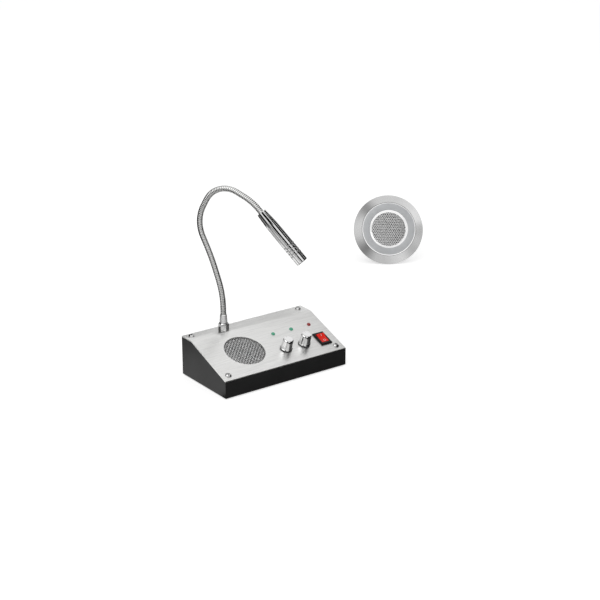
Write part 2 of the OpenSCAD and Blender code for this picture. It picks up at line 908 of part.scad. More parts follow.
module neck_link(k) {
  at_joint(k) {
    cup_end();
    translate([0, 0, link_end])
      bend(k);
  }
  at_joint(k + 1)
    translate([0, 0, -link_end - seam])
      if (k < 4)
        ball_end(link_end + seam);
      else
        cylinder(r = neck_r, h = link_end + seam + mic_grip);
}

module neck_link_1() color([0.8, 0.8, 0.82]) neck_link(0);

module neck_link_2() color([0.75, 0.75, 0.78]) neck_link(1);

module neck_link_3() color([0.8, 0.8, 0.82]) neck_link(2);

module neck_link_4() color([0.75, 0.75, 0.78]) neck_link(3);

module neck_link_5() color([0.8, 0.8, 0.82]) neck_link(4);

module neck_nut() color([0.82, 0.82, 0.84]) {
  on_flat(-neck_x, neck_back)
    hex(neck_nut_af, neck_nut_h, neck_thread_d / 2 + run_gap);
}

module neck_ferrule() color([0.85, 0.85, 0.87]) {
  on_flat(-neck_x, neck_back, neck_nut_h)
    difference() {
      cylinder(d1 = ferrule_d, d2 = ferrule_top_d, h = ferrule_h);
      translate([0, 0, -1])
        cylinder(r = neck_r + run_gap, h = ferrule_h + 2);
    }
}

// The neck's fixed foot: a threaded stud below, the first of the neck above.
module neck_stud() color([0.7, 0.7, 0.72]) {
  stud_foot = panel_t + neck_washer_t + neck_lock_t + 1.5;
  on_flat(-neck_x, neck_back)
    difference() {
      union() {
        translate([0, 0, -stud_foot])
          cylinder(d = neck_thread_d, h = stud_foot + neck_nut_h - 0.5);
        translate([0, 0, neck_nut_h - 0.5])
          ball_end(ferrule_h + 2.5);
      }
      translate([0, 0, -stud_foot - 1])
        cylinder(r = 2.2, h = stud_foot + neck_nut_h);
    }
}

module neck_washer() color([0.7, 0.7, 0.72]) {
  on_flat(-neck_x, neck_back, -panel_t - neck_washer_t)
    ring(flat_d - neck_back - fold_back - 0.2, neck_thread_d / 2 + hole_gap, neck_washer_t);
}

module neck_lock_nut() color([0.7, 0.7, 0.72]) {
  on_flat(-neck_x, neck_back, -panel_t - neck_washer_t - neck_lock_t)
    hex(neck_nut_af, neck_lock_t, neck_thread_d / 2 + run_gap);
}

// ---- Microphone ----

module mic_tube() color([0.85, 0.85, 0.87]) {
  tube_len = mic_len - mic_cap_len;
  band_rim = 1.2;
  slot_pitch = (mic_band_len - 2 * band_rim - mic_slot_w) / (mic_slot_rings - 1);
  slot_turn = 360 / mic_slots;
  slot_l = 0.62 * PI * mic_d / mic_slots;
  at_joint(5)
    difference() {
      rotate_extrude()
        polygon([[neck_r + run_gap, 0], [mic_neck_d / 2, 0], [mic_d / 2 - 0.1, mic_taper],
          [mic_d / 2, mic_taper + 12], [mic_d / 2, tube_len],
          [mic_d / 2 - mic_wall, tube_len], [mic_d / 2 - mic_wall, mic_taper],
          [neck_r + run_gap, mic_grip + 2]]);
      for (ring = [0:mic_slot_rings - 1], k = [0:mic_slots - 1])
        translate([0, 0, tube_len - mic_band_len + band_rim + ring * slot_pitch])
          rotate([0, 0, slot_turn * (k + ring / 2)])
            translate([mic_d / 2 - mic_wall - 1, -slot_l / 2, 0])
              cube([mic_wall + 2, slot_l, mic_slot_w]);
    }
}

module mic_cap() color([0.85, 0.85, 0.87]) {
  at_joint(5)
    translate([0, 0, mic_len - mic_cap_len])
      difference() {
        rotate_extrude()
          polygon([[capsule_d / 2 + run_gap, 0], [mic_d / 2, 0],
            [mic_d / 2, mic_cap_len - 0.5], [mic_d / 2 - 0.5, mic_cap_len],
            [0, mic_cap_len], [0, mic_cap_len - 1.2],
            [capsule_d / 2 + run_gap, mic_cap_len - 1.2]]);
        for (k = [0:5])
          rotate([0, 0, 60 * k])
            translate([2.6, 0, mic_cap_len - 2])
              cylinder(d = 1.6, h = 3);
        translate([0, 0, mic_cap_len - 2])
          cylinder(d = 1.6, h = 3);
      }
}

module mic_foam() color([0.1, 0.1, 0.1]) {
  at_joint(5)
    translate([0, 0, mic_len - mic_cap_len - mic_band_len])
      cylinder(r = mic_d / 2 - mic_wall - 0.1, h = mic_band_len);
}

module mic_capsule() color([0.7, 0.7, 0.7]) {
  at_joint(5)
    translate([0, 0, mic_len - mic_cap_len])
      cylinder(d = capsule_d, h = mic_cap_len - 1.2 - 0.3);
}

// ---- Outside unit ----

// Stood on the counter on its rim and on the back edge of its housing. Locally +Z is
// out of its face, +Y up and z = 0 the rim's back.
module outer_place() {
  translate([outer_x, outer_y, rim_d / 2 * cos(outer_tilt)])
    rotate([0, 0, outer_turn])
      rotate([90 - outer_tilt, 0, 0])
        children();
}

module at_outer_screws() {
  for (k = [0:2])
    rotate([0, 0, 90 + 120 * k])
      translate([outer_screw_ring, 0, 0])
        children();
}

module outer_collar() color([0.75, 0.76, 0.77]) {
  seat_r = ring_d / 2 + hole_gap;
  bore_r = mouth_d / 2 - 0.5;
  wall = 1.4;
  deck_z = mesh_deck - deck_t;
  outer_place() {
    rotate_extrude()
      polygon([[rim_d / 2, 0], [rim_d / 2, rim_t], [seat_r, ring_h - ring_step],
        [seat_r, mesh_deck], [bore_r, mesh_deck], [bore_r, deck_z],
        [housing_d / 2, deck_z], [rim_d / 2 - wall * 2, 0]]);
    at_outer_screws()
      difference() {
        translate([0, 0, -housing_l + housing_t + 2])
          cylinder(r = outer_post_r, h = housing_l - housing_t - 2 + deck_z + eps);
        translate([0, 0, -housing_l])
          cylinder(r = small_screw_r + hole_gap / 2, h = housing_t + 10);
      }
  }
}

module outer_ring() color([0.7, 0.71, 0.73]) {
  outer_place()
    rotate_extrude()
      polygon([[ring_d / 2, mesh_deck], [ring_d / 2, ring_h - 0.6],
        [ring_d / 2 - 0.6, ring_h], [mouth_d / 2, ring_h],
        [mouth_mesh_d / 2, mesh_deck + 1.2], [mouth_mesh_d / 2, mesh_deck]]);
}

module outer_mesh() color([0.55, 0.55, 0.55]) {
  outer_place()
    translate([0, 0, mesh_deck - mesh_disc_t])
      cylinder(r = mouth_d / 2 - 0.8, h = mesh_disc_t);
}

module outer_carrier() color([0.1, 0.1, 0.1]) {
  outer_place()
    translate([0, 0, carrier_top - carrier_t])
      difference() {
        cylinder(r = housing_d / 2 - housing_t - 1.5, h = carrier_t);
        translate([0, outer_speaker_up, -1])
          cylinder(r = outer_speaker_d / 2 - 3, h = carrier_t + 2);
        translate([0, -outer_mic_down, -1])
          cylinder(r = outer_mic_r + run_gap, h = carrier_t + 2);
        at_outer_screws()
          translate([0, 0, -1])
            cylinder(r = outer_post_r + hole_gap, h = carrier_t + 2);
      }
}

module outer_basket() color([0.45, 0.45, 0.47]) {
  outer_place()
    translate([0, outer_speaker_up, carrier_top - carrier_t])
      basket(outer_speaker_d / 2, 9, 9);
}

module outer_cone() color([0.12, 0.12, 0.12]) {
  outer_place()
    translate([0, outer_speaker_up, carrier_top - carrier_t])
      cone(outer_speaker_d / 2, 9, 9);
}

module outer_magnet() color([0.25, 0.25, 0.27]) {
  outer_place()
    translate([0, outer_speaker_up, carrier_top - carrier_t - 9 - 5])
      cylinder(r = 10, h = 5);
}

module outer_mic() color([0.7, 0.7, 0.7]) {
  outer_place()
    translate([0, -outer_mic_down, carrier_top - 2.6])
      cylinder(r = outer_mic_r, h = 2.6);
}

module outer_housing() color([0.14, 0.14, 0.15]) {
  side_z = -housing_l / 2;
  outer_place()
    difference() {
      rotate_extrude()
        polygon([[0, -housing_l], [housing_d / 2, -housing_l],
          [housing_d / 2, mesh_deck - deck_t], [housing_d / 2 - housing_t, mesh_deck - deck_t],
          [housing_d / 2 - housing_t, -housing_l + housing_t], [0, -housing_l + housing_t]]);
      at_outer_screws()
        translate([0, 0, -housing_l - 1])
          cylinder(r = small_screw_r + hole_gap, h = housing_t + 2);
      translate([0, 0, side_z])
        rotate([0, 90, 0])
          cylinder(r = 4 + hole_gap, h = housing_d);
    }
}

module outer_screws() color([0.7, 0.7, 0.72]) {
  outer_place()
    at_outer_screws()
      translate([0, 0, -housing_l])
        cylinder(r = small_screw_r, h = housing_t + 8);
}

module outer_grommet() color([0.07, 0.07, 0.07]) {
  outer_place()
    translate([housing_d / 2, 0, -housing_l / 2])
      rotate([0, 90, 0])
        difference() {
          union() {
            translate([0, 0, -housing_t - 0.5])
              cylinder(r = 4, h = housing_t + 1);
            translate([0, 0, 0.4])
              cylinder(r = 5.5, h = 1.6);
          }
          translate([0, 0, -housing_t - 2])
            cylinder(r = 2, h = 10);
        }
}

module outer_pad() color([0.9, 0.9, 0.88]) {
  outer_place()
    translate([0, 0, -housing_l - pad_t])
      cylinder(d = pad_d, h = pad_t);
}

base_tray();
rubber_feet();
top_panel();
panel_screws();
speaker_mesh();
speaker_surround();
speaker_basket();
speaker_cone();
speaker_magnet();
speaker_clips();
speaker_nuts();
pots();
pot_washers();
pot_nuts();
shaft_left();
shaft_right();
knob_left();
knob_right();
green_lamps();
red_lamp();
lamp_board();
lamp_posts();
switch_body();
switch_rocker();
switch_blades();
main_board();
board_screws();
amplifier_chip();
heat_sink();
capacitors();
lead_sockets();
power_socket();
audio_sockets();
neck_nut();
neck_ferrule();
neck_stud();
neck_washer();
neck_lock_nut();
neck_link_1();
neck_link_2();
neck_link_3();
neck_link_4();
neck_link_5();
mic_tube();
mic_cap();
mic_foam();
mic_capsule();
outer_collar();
outer_ring();
outer_mesh();
outer_carrier();
outer_basket();
outer_cone();
outer_magnet();
outer_mic();
outer_housing();
outer_screws();
outer_grommet();
outer_pad();
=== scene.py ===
from math import atan, cos, dist, inf, pi, radians, sin, sqrt, tan, tau

import bmesh
import bpy
from mathutils import Matrix, Vector
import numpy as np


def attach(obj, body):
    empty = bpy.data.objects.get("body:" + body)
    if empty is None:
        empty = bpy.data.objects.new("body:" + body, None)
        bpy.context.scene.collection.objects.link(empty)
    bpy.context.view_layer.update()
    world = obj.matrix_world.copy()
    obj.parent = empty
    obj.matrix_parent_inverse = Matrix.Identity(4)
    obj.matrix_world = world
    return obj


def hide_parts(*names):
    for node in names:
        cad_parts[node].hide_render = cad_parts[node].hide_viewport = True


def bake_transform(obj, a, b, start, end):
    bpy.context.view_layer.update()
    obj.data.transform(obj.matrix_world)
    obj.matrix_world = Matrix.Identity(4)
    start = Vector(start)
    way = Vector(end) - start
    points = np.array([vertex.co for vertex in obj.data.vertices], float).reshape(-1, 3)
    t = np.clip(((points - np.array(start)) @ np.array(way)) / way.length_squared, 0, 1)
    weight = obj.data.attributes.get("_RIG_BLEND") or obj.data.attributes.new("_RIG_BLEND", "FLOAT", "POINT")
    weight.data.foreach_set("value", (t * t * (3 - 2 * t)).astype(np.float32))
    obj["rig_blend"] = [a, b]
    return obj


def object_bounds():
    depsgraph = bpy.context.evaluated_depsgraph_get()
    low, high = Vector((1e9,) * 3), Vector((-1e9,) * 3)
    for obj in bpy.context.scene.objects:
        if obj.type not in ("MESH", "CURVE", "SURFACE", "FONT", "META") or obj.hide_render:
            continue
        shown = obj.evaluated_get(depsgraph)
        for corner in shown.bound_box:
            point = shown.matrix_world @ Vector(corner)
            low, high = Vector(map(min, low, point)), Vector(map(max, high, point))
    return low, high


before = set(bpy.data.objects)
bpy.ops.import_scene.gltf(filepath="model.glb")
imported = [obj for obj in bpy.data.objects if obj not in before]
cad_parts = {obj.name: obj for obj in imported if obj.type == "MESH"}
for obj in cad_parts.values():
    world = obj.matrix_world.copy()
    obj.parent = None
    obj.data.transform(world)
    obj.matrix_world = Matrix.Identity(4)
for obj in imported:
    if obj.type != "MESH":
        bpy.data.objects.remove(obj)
CAD_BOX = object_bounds()

# ---- Sizes of the intercom in millimetres, as its solids have them ----

MM = 0.001

# The desk unit: the outline, the feet, the heights of the front and back edges, the flat strip
# along the back, and the panel's steel. The slope runs up from the front edge to the flat strip.
BODY_W, BODY_D = 170, 90.5
FOOT_H, FRONT_H, BACK_H, FLAT_D = 1, 21.1, 47.2, 20.4
PANEL_T = 1.2
SLOPE = atan((BACK_H - FRONT_H) / (BODY_D - FLAT_D))
SLOPE_LEN = (BODY_D - FLAT_D) / cos(SLOPE)

# On the slope: the speaker's middle, the three columns of controls and their rows.
SPEAKER = (-34, SLOPE_LEN / 2 + 1.3)
COLUMNS = (15, 41, 67)
KNOB_V, LAMP_V, SWITCH_V = 24.5, 52.3, 24

# The top of a knob's seat, below which the knob is painted black as its painted shadow, then the rocker's
# pivot and half of its throw.
SEAT_TOP = 1.35
PIVOT_Z, HALF_THROW = -1.5, radians(10)

# The gooseneck: the middle of its foot, its nut, ferrule and hose, the bore that the hose sits
# in, the way it leans, and each link's straight ends, curved run and turn in degrees.
NECK_X, NECK_Y = -35.5, BODY_D / 2 - 13.2
NUT_H, FERRULE_H, NECK_R = 9.5, 10.5, 3.5
HOSE_BORE = NECK_R + 0.1
NECK_SIDE = radians(35)
LINK_END = 4.5
RUNS = (35, 36.5, 38, 43, 22.5)
TURNS = (-16.5, -6.5, 50.5, 89.5, 20.5)

# The microphone: the whole, its tube and capsule, the taper at the neck, the tube's wall, and
# the band of slots under the cap.
MIC_LEN, TUBE_LEN, MIC_R, CAPSULE_R = 72.5, 62.5, 7.1, 4.85
MIC_NECK_R, MIC_TAPER, MIC_WALL = 5.7, 17, 0.8
MIC_BAND, MIC_RINGS, MIC_SLOTS, SLOT_W = 16, 7, 6, 1.1

# The outside unit: the collar's rim, the ring and its mouth, the mesh and the deck it lies on,
# the housing behind, and where the unit stands and how it is turned and tilted.
RIM_R, RING_R, RING_H, MOUTH_R = 49, 37.7, 10, 26.8
MESH_R, MESH_DECK = 23.6, 5.6
HOUSING_R, HOUSING_L = 40, 20
OUTER_AT, OUTER_TURN = (371, 224.5), radians(-34.5)
OUTER_TILT = atan((RIM_R - HOUSING_R) / HOUSING_L)


def shift(x, y, z):
    """A move by lengths in millimetres."""
    return Matrix.Translation((x * MM, y * MM, z * MM))


def turn(angle, axis):
    return Matrix.Rotation(angle, 4, axis)


# The slope's frame: u to the right of the middle, v up from the front edge, h out of it.
ON_SLOPE = shift(0, -BODY_D / 2, FOOT_H + FRONT_H) @ turn(SLOPE, "X")
ON_NECK_FOOT = shift(NECK_X, NECK_Y, FOOT_H + BACK_H)
IN_NECK_PLANE = ON_NECK_FOOT @ turn(NECK_SIDE - pi / 2, "Z")
OUTER_CENTRE = (*OUTER_AT, RIM_R * cos(OUTER_TILT))
ON_OUTER = shift(*OUTER_CENTRE) @ turn(OUTER_TURN, "Z") @ turn(pi / 2 - OUTER_TILT, "X")
OUT_OF_SLOPE, OUT_OF_OUTER = (place.to_3x3() @ Vector((0, 0, 1)) for place in (ON_SLOPE, ON_OUTER))


def neck_joints():
    """Each neck joint as (s, z, heading): s forwards and z up in the neck's plane."""
    s, z, heading = 0.0, NUT_H + FERRULE_H + 2, 0.0
    found = [(s, z, heading)]
    for run, angle in zip(RUNS, TURNS):
        bend = radians(angle)
        chord = 2 * run / bend * sin(bend / 2)
        for length, way in ((LINK_END, heading), (chord, heading + bend / 2), (LINK_END, heading + bend)):
            s, z = s + length * sin(way), z + length * cos(way)
        heading += bend
        found.append((s, z, heading))
    return found


JOINTS = neck_joints()
ON_MIC = IN_NECK_PLANE @ shift(JOINTS[5][0], 0, JOINTS[5][1]) @ turn(JOINTS[5][2], "Y")


# ---- Node trees ----


class Wire:
    """An output socket in a node tree. Sums on it add Math nodes to the tree."""

    def __init__(self, tree, socket=None):
        self.tree, self.socket = tree, socket

    def node(self, kind, values=None, out=0, **settings):
        """A new node: its type, its sockets' values or links, the output used, its settings."""
        made = self.tree.nodes.new(kind)
        for name, value in settings.items():
            setattr(made, name, value)
        for name, value in (values or {}).items():
            if isinstance(value, Wire):
                self.tree.links.new(value.socket, made.inputs[name])
            else:
                made.inputs[name].default_value = value
        return Wire(self.tree, made.outputs[out])

    def maths(self, operation, *others):
        """A Math node on this value, with any others after it."""
        return self.node("ShaderNodeMath", dict(enumerate((self, *others))), operation=operation)

    def __add__(self, other):
        return self.maths("ADD", other)

    __radd__ = __add__

    def __sub__(self, other):
        return self.maths("SUBTRACT", other)

    def __rsub__(self, other):
        return self.node("ShaderNodeMath", {0: other, 1: self}, operation="SUBTRACT")

    def __mul__(self, other):
        return self.maths("MULTIPLY", other)

    __rmul__ = __mul__

    def __truediv__(self, other):
        return self.maths("DIVIDE", other)

    def __pow__(self, other):
        return self.maths("POWER", other)

    def above(self, edge):
        return self.maths("GREATER_THAN", edge)

    def below(self, edge):
        return self.maths("LESS_THAN", edge)

    def clamped(self):
        return self.node("ShaderNodeClamp", {"Value": self})

    def stretched(self, x, y, z):
        return self.node("ShaderNodeMapping", {"Vector": self, "Scale": (x, y, z)})

    def noise(self, scale, detail, rough=0.5):
        values = {"Vector": self, "Scale": scale, "Detail": detail, "Roughness": rough}
        return self.node("ShaderNodeTexNoise", values)

    def colours(self, first, second):
        """Runs from one colour to the other as this value goes from 0 to 1."""
        values = {0: self, 6: (*first, 1), 7: (*second, 1)}
        return self.node("ShaderNodeMix", values, out=2, data_type="RGBA")

    def bump(self, strength, distance):
        values = {"Height": self, "Strength": strength, "Distance": distance * MM}
        return self.node("ShaderNodeBump", values)

    def parted(self):
        """A vector's three parts."""
        split = self.tree.nodes.new("ShaderNodeSeparateXYZ")
        self.tree.links.new(self.socket, split.inputs[0])
        return [Wire(self.tree, s) for s in split.outputs]

    def vector(self, **parts):
        """A vector from the parts named; any other part is 0."""
        return self.node("ShaderNodeCombineXYZ", parts)

    def geometry(self, kind, values=None, out=0, **settings):
        """A new geometry node, its type said without the prefix."""
        return self.node("GeometryNode" + kind, values, out, **settings)

    def attribute(self, name, kind="FLOAT"):
        """A named attribute of the geometry, at each of its points."""
        return self.geometry("InputNamedAttribute", {"Name": name}, data_type=kind)

    def joined(self, *parts):
        """The parts' geometry as one."""
        both = self.tree.nodes.new("GeometryNodeJoinGeometry")
        for part in parts:
            self.tree.links.new(part.socket, both.inputs[0])
        return Wire(self.tree, both.outputs[0])


def shaded(owner, end_kind, shade):
    """Gives a material or a world the shader that shade makes, starting from an empty tree."""
    owner.use_nodes = True
    tree = owner.node_tree
    tree.nodes.clear()
    shader = shade(Wire(tree))
    end = tree.nodes.new(end_kind)
    tree.links.new(shader.socket, end.inputs["Surface"])
    return owner


def plain_name(material):
    """The name without the number that Blender adds when a name is taken."""
    return material.name.split(".")[0]


def surface(name, paint):
    """A material: paint gets the Object coordinates and gives the shader's socket values."""

    def shade(wire):
        place = wire.node("ShaderNodeTexCoord", out="Object")
        return place.node("ShaderNodeBsdfPrincipled", paint(place))

    return shaded(bpy.data.materials.new(name), "ShaderNodeOutputMaterial", shade)


# ---- Finishes ----


def tint(level, warm=0.0):
    """A grey of that level, its red raised and its blue lowered by a share."""
    return (level * (1 + warm), level, level * (1 - warm))


def plated(name, level, rough, warm=0.0, smudge=0.06, stain=0.05, grain=90):
    """Bright plated metal with faint handling smudges and polishing marks."""

    def paint(place):
        cloud = place.noise(grain, 4)
        fine = place.noise(grain * 14, 2)
        return {
            "Base Color": cloud.colours(tint(level * (1 - stain), warm), tint(level, warm)),
            "Metallic": 1.0,
            "Roughness": rough + smudge * cloud * cloud,
            "Normal": fine.bump(0.04, 0.02),
        }

    return surface(name, paint)


def brushed_panel(place):
    """Stainless sheet brushed lengthwise: long fine streaks along X."""
    broad = place.stretched(32, 1100, 1100).noise(1, 3, 0.6)
    fine = place.stretched(60, 3600, 3600).noise(1, 3, 0.7)
    cloud = place.noise(24, 2)
    streak = ((broad * 0.6 + fine * 0.4) * 1.8 - 0.4).clamped()
    return {
        "Base Color": streak.colours((0.62, 0.62, 0.61), (0.985, 0.985, 0.975)),
        "Metallic": 1.0,
        "Roughness": 0.27 + 0.12 * streak + 0.05 * cloud,
        "Normal": (fine + broad * 0.5).bump(0.10, 0.03),
    }


def moulded(name, level, rough, warm=0.0, texture=0.25, grain=1900, sheen=0.5, worn=0.03):
    """Moulded plastic with a leather grain and faint paler clouds."""

    def paint(place):
        leather = place.noise(grain, 3, 0.6)
        cloud = place.noise(35, 3)
        pale = tuple(c + worn * level + 0.004 for c in tint(level, warm))
        return {
            "Base Color": (leather * 0.4 + cloud * 0.6).colours(tint(level * 0.85, warm), pale),
            "Roughness": rough - 0.1 + 0.2 * cloud,
            "Specular IOR Level": sheen,
            "Normal": leather.bump(texture, 0.05),
        }

    return surface(name, paint)


def lens(name, dark, light):
    """A translucent, softly clouded lamp lens that glows a little."""

    def paint(place):
        cloud = place.noise(400, 2)
        return {
            "Base Color": cloud.colours(dark, light),
            "Roughness": 0.12 + 0.1 * cloud,
            "Transmission Weight": 0.25,
            "IOR": 1.5,
            "Coat Weight": 0.5,
            "Emission Color": cloud.colours(dark, light),
            "Emission Strength": 0.12,
        }

    return surface(name, paint)


def rocker_red(place):
    """Glossy translucent red plastic, softly clouded."""
    cloud = place.noise(120, 2)
    return {
        "Base Color": cloud.colours((0.68, 0.008, 0.006), (0.88, 0.025, 0.010)),
        "Roughness": 0.22 + 0.08 * cloud,
        "Subsurface Weight": 0.15,
        "Subsurface Radius": (0.004, 0.001, 0.001),
        "Subsurface Scale": 0.5,
        "Specular IOR Level": 0.3,
        "Emission Color": (0.9, 0.03, 0.02, 1),
        "Emission Strength": 0.10,
    }


def wound_chrome(place):
    """Chromed winding: full chrome on the crest of each turn, its colour darkened almost to black in the
    seam between turns as painted shade.
    """
    crest = place.node("ShaderNodeAttribute", out="Fac", attribute_name="rib")
    cloud = place.noise(90, 3)
    fine = place.noise(1500, 2)
    # Painted shade: the colour falls towards black where the rib attribute falls towards the seam.
    lit = (crest * 1.5 - 0.1).clamped() * (0.92 + 0.08 * cloud)
    return {
        "Base Color": lit.colours((0.05, 0.05, 0.055), (0.68, 0.68, 0.67)),
        "Metallic": 1.0,
        "Roughness": 0.07 + 0.25 * (1 - lit) + 0.05 * cloud,
        "Normal": fine.bump(0.04, 0.02),
    }


def turned(name, level, rough, warm=0.0, bump=0.15, painted_fans=()):
    """Metal turned on a lathe: fine rings about the outside unit's axis, and dark fans of painted
    reflection in its colour, each as its bearing, width and depth."""

    def paint(place):
        centre = tuple(c * MM for c in OUTER_CENTRE)
        values = {"Vector": place, "Location": centre, "Rotation": ON_OUTER.to_euler()}
        local = place.node("ShaderNodeMapping", values, vector_type="TEXTURE")
        x, y, _ = local.parted()
        radius = (x * x + y * y) ** 0.5
        values = {"W": radius, "Scale": 2600, "Detail": 2}
        rings = radius.node("ShaderNodeTexNoise", values, noise_dimensions="1D")
        cloud = local.noise(60, 3)
        tone = rings * 0.35 + cloud * 0.3 + 0.25
        bearing = y.maths("ARCTAN2", x)
        # Each fan darkens the colour in a sector round the axis: painted reflection of dark surroundings.
        for at, width, depth in painted_fans:
            off = bearing - radians(at)
            off = off.maths("WRAP", pi, -pi) / radians(width)
            tone = tone - (off * off * -1.0).maths("EXPONENT") * depth
        return {
            "Base Color": (tone * 0.5 + 0.5).clamped().colours(tint(level * 0.25), tint(level * 1.1, warm)),
            "Metallic": 1.0,
            "Roughness": rough + 0.08 * cloud,
            "Normal": rings.bump(bump, 0.02),
        }

    return surface(name, paint)


def board_green(place):
    """Solder mask with faint traces under it."""
    traces = place.stretched(700, 90, 90).noise(1, 1).above(0.55)
    cloud = place.noise(50, 2)
    return {
        "Base Color": (traces * 0.6 + cloud * 0.2).colours((0.010, 0.085, 0.035), (0.02, 0.17, 0.07)),
        "Roughness": 0.32 + 0.1 * cloud,
        "Normal": traces.bump(0.2, 0.03),
    }


# The bearings of the collar's painted reflection fans, dark sectors in its colour, with each one's width in
# degrees and its depth.
PAINTED_REFLECTION_FANS = ((137, 17, 1.15), (220, 20, 1.45), (262, 22, 0.45), (318, 15, 0.6), (352, 28, 0.55))

FINISHES = {plain_name(finish): finish for finish in (
    surface("panel_steel", brushed_panel),
    moulded("tray_plastic", 0.016, 0.50, sheen=0.35),
    moulded("foot_rubber", 0.025, 0.80, texture=0.4, grain=900),
    plated("screw_steel", 0.62, 0.14, smudge=0.10),
    plated("mesh_steel", 0.95, 0.26, grain=300),
    moulded("speaker_foam", 0.045, 0.95, texture=0.9, grain=1200),
    moulded("microphone_cloth", 0.62, 0.9, texture=0.6, grain=2400),
    plated("speaker_steel", 0.22, 0.40),
    moulded("cone_paper", 0.03, 0.85, texture=0.6, grain=500),
    moulded("magnet", 0.09, 0.60, grain=800),
    plated("zinc_steel", 0.62, 0.28, warm=0.01, stain=0.15),
    plated("knob_chrome", 0.80, 0.05, smudge=0.05, stain=0.03),
    lens("green_lens", (0.04, 0.30, 0.17), (0.10, 0.56, 0.36)),
    lens("red_lens", (0.20, 0.010, 0.010), (0.46, 0.03, 0.03)),
    surface("circuit_board", board_green),
    moulded("white_plastic", 0.72, 0.45, warm=0.02, texture=0.1),
    moulded("switch_black", 0.008, 0.30, texture=0.06, sheen=0.22),
    surface("rocker_red", rocker_red),
    plated("contact_brass", 0.60, 0.22, warm=0.25, stain=0.2),
    plated("heat_sink_aluminium", 0.62, 0.32, stain=0.1),
    moulded("capacitor_sleeve", 0.045, 0.30, warm=-0.8, texture=0.03),
    plated("neck_chrome", 0.78, 0.10, smudge=0.08, stain=0.06),
    plated("ferrule_satin", 0.95, 0.42, smudge=0.06, stain=0.04),
    surface("hose_chrome", wound_chrome),
    plated("mic_chrome", 0.74, 0.05, smudge=0.03, stain=0.03),
    turned("outer_steel", 0.64, 0.22, painted_fans=PAINTED_REFLECTION_FANS),
    turned("outer_bright", 0.92, 0.14, bump=0.05),
    turned("outer_satin", 0.58, 0.42, warm=-0.02, bump=0.05),
    moulded("housing_plastic", 0.04, 0.50),
    moulded("adhesive_pad", 0.70, 0.90, warm=0.02, texture=0.7, grain=700),
    moulded("mark_white", 0.80, 0.50, texture=0.02),
)}


# ---- Mesh tools ----


def in_scene(name, data):
    piece = bpy.data.objects.new(name, data)
    bpy.context.scene.collection.objects.link(piece)
    return piece


def mesh_of(name, shape, place=Matrix()):
    """Ends a bmesh: what it drew becomes a mesh, moved to its place."""
    mesh = bpy.data.meshes.new(name)
    shape.to_mesh(mesh)
    shape.free()
    mesh.transform(place)
    return mesh


def fixed(piece, body, slot, *nodes, finish=None):
    """Rides on its body, takes its slot's finish and stands for the CAD nodes named."""
    if not piece.data.materials:
        piece.data.materials.append(FINISHES[finish or slot])
    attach(piece, body)
    if nodes:
        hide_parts(*nodes)


def evaluated(piece):
    """Replaces a piece's modifiers by the mesh that they make."""
    graph = bpy.context.evaluated_depsgraph_get()
    mesh = bpy.data.meshes.new_from_object(piece.evaluated_get(graph))
    piece.modifiers.clear()
    piece.data = mesh
    mesh.name = piece.name
    return piece


def faces_out(mesh):
    """Merges doubled points and turns every face of a closed mesh outwards."""
    shape = bmesh.new()
    shape.from_mesh(mesh)
    bmesh.ops.remove_doubles(shape, verts=shape.verts, dist=1e-7)
    bmesh.ops.recalc_face_normals(shape, faces=shape.faces)
    shape.to_mesh(mesh)
    shape.free()


def smooth(mesh, angle):
    """Smooth shading, with the edges that turn by more than the angle kept sharp."""
    for face in mesh.polygons:
        face.use_smooth = True
    mesh.set_sharp_from_angle(angle=radians(angle))


def rounded(corners, closed=False):
    """A profile of (r, z, fillet radius) corners, each turned into a short arc."""
    points = []
    count, steps, share = len(corners), 4, 0.48
    for k, (r, z, fillet) in enumerate(corners):
        if fillet <= 0 or (not closed and k in (0, count - 1)):
            points.append((r, z))
            continue
        here = Vector((r, z))
        back = Vector(corners[k - 1][:2]) - here
        ahead = Vector(corners[(k + 1) % count][:2]) - here
        spread = back.angle(ahead)
        reach = min(fillet / tan(spread / 2), back.length * share, ahead.length * share)
        start, end = here + back.normalized() * reach, here + ahead.normalized() * reach
        for j in range(steps + 1):
            t = j / steps
            points.append(tuple(start * (1 - t) ** 2 + here * 2 * t * (1 - t) + end * t * t))
    return points


def braced(profile, gap=0.2):
    """Adds points close to both ends of each long stretch, so that its shading stays even."""
    points = []
    for here, ahead in zip(profile, profile[1:] + profile[:1]):
        points.append(here)
        stretch = Vector(ahead) - Vector(here)
        if stretch.length > 8 * gap:
            step = stretch.normalized() * gap
            points += [tuple(Vector(here) + step), tuple(Vector(ahead) - step)]
    return points


def lathe(name, profile, place=Matrix(), steps=96, closed=False, angle=32):
    """Turns a profile of (r, z) points about the Z axis of its place."""
    shape = bmesh.new()
    rings = []
    for r, z in profile:
        if r == 0:
            rings.append([shape.verts.new((0, 0, z * MM))])
            continue
        ring = []
        for k in range(steps):
            a = tau * k / steps
            ring.append(shape.verts.new((r * cos(a) * MM, r * sin(a) * MM, z * MM)))
        rings.append(ring)
    pairs = list(zip(rings, rings[1:])) + ([(rings[-1], rings[0])] if closed else [])
    for low, high in pairs:
        for k in range(steps):
            n = (k + 1) % steps
            corners = [low[k % len(low)], low[n % len(low)], high[n % len(high)], high[k % len(high)]]
            corners = list(dict.fromkeys(corners))
            if len(corners) > 2:
                shape.faces.new(corners)
    bmesh.ops.recalc_face_normals(shape, faces=shape.faces)
    mesh = mesh_of(name, shape, place)
    smooth(mesh, angle)
    return in_scene(name, mesh)


def rod(name, radius, low, high, place=Matrix(), steps=64):
    """A plain round rod or disc between two heights."""
    return lathe(name, [(0, low), (radius, low), (radius, high), (0, high)], place, steps)


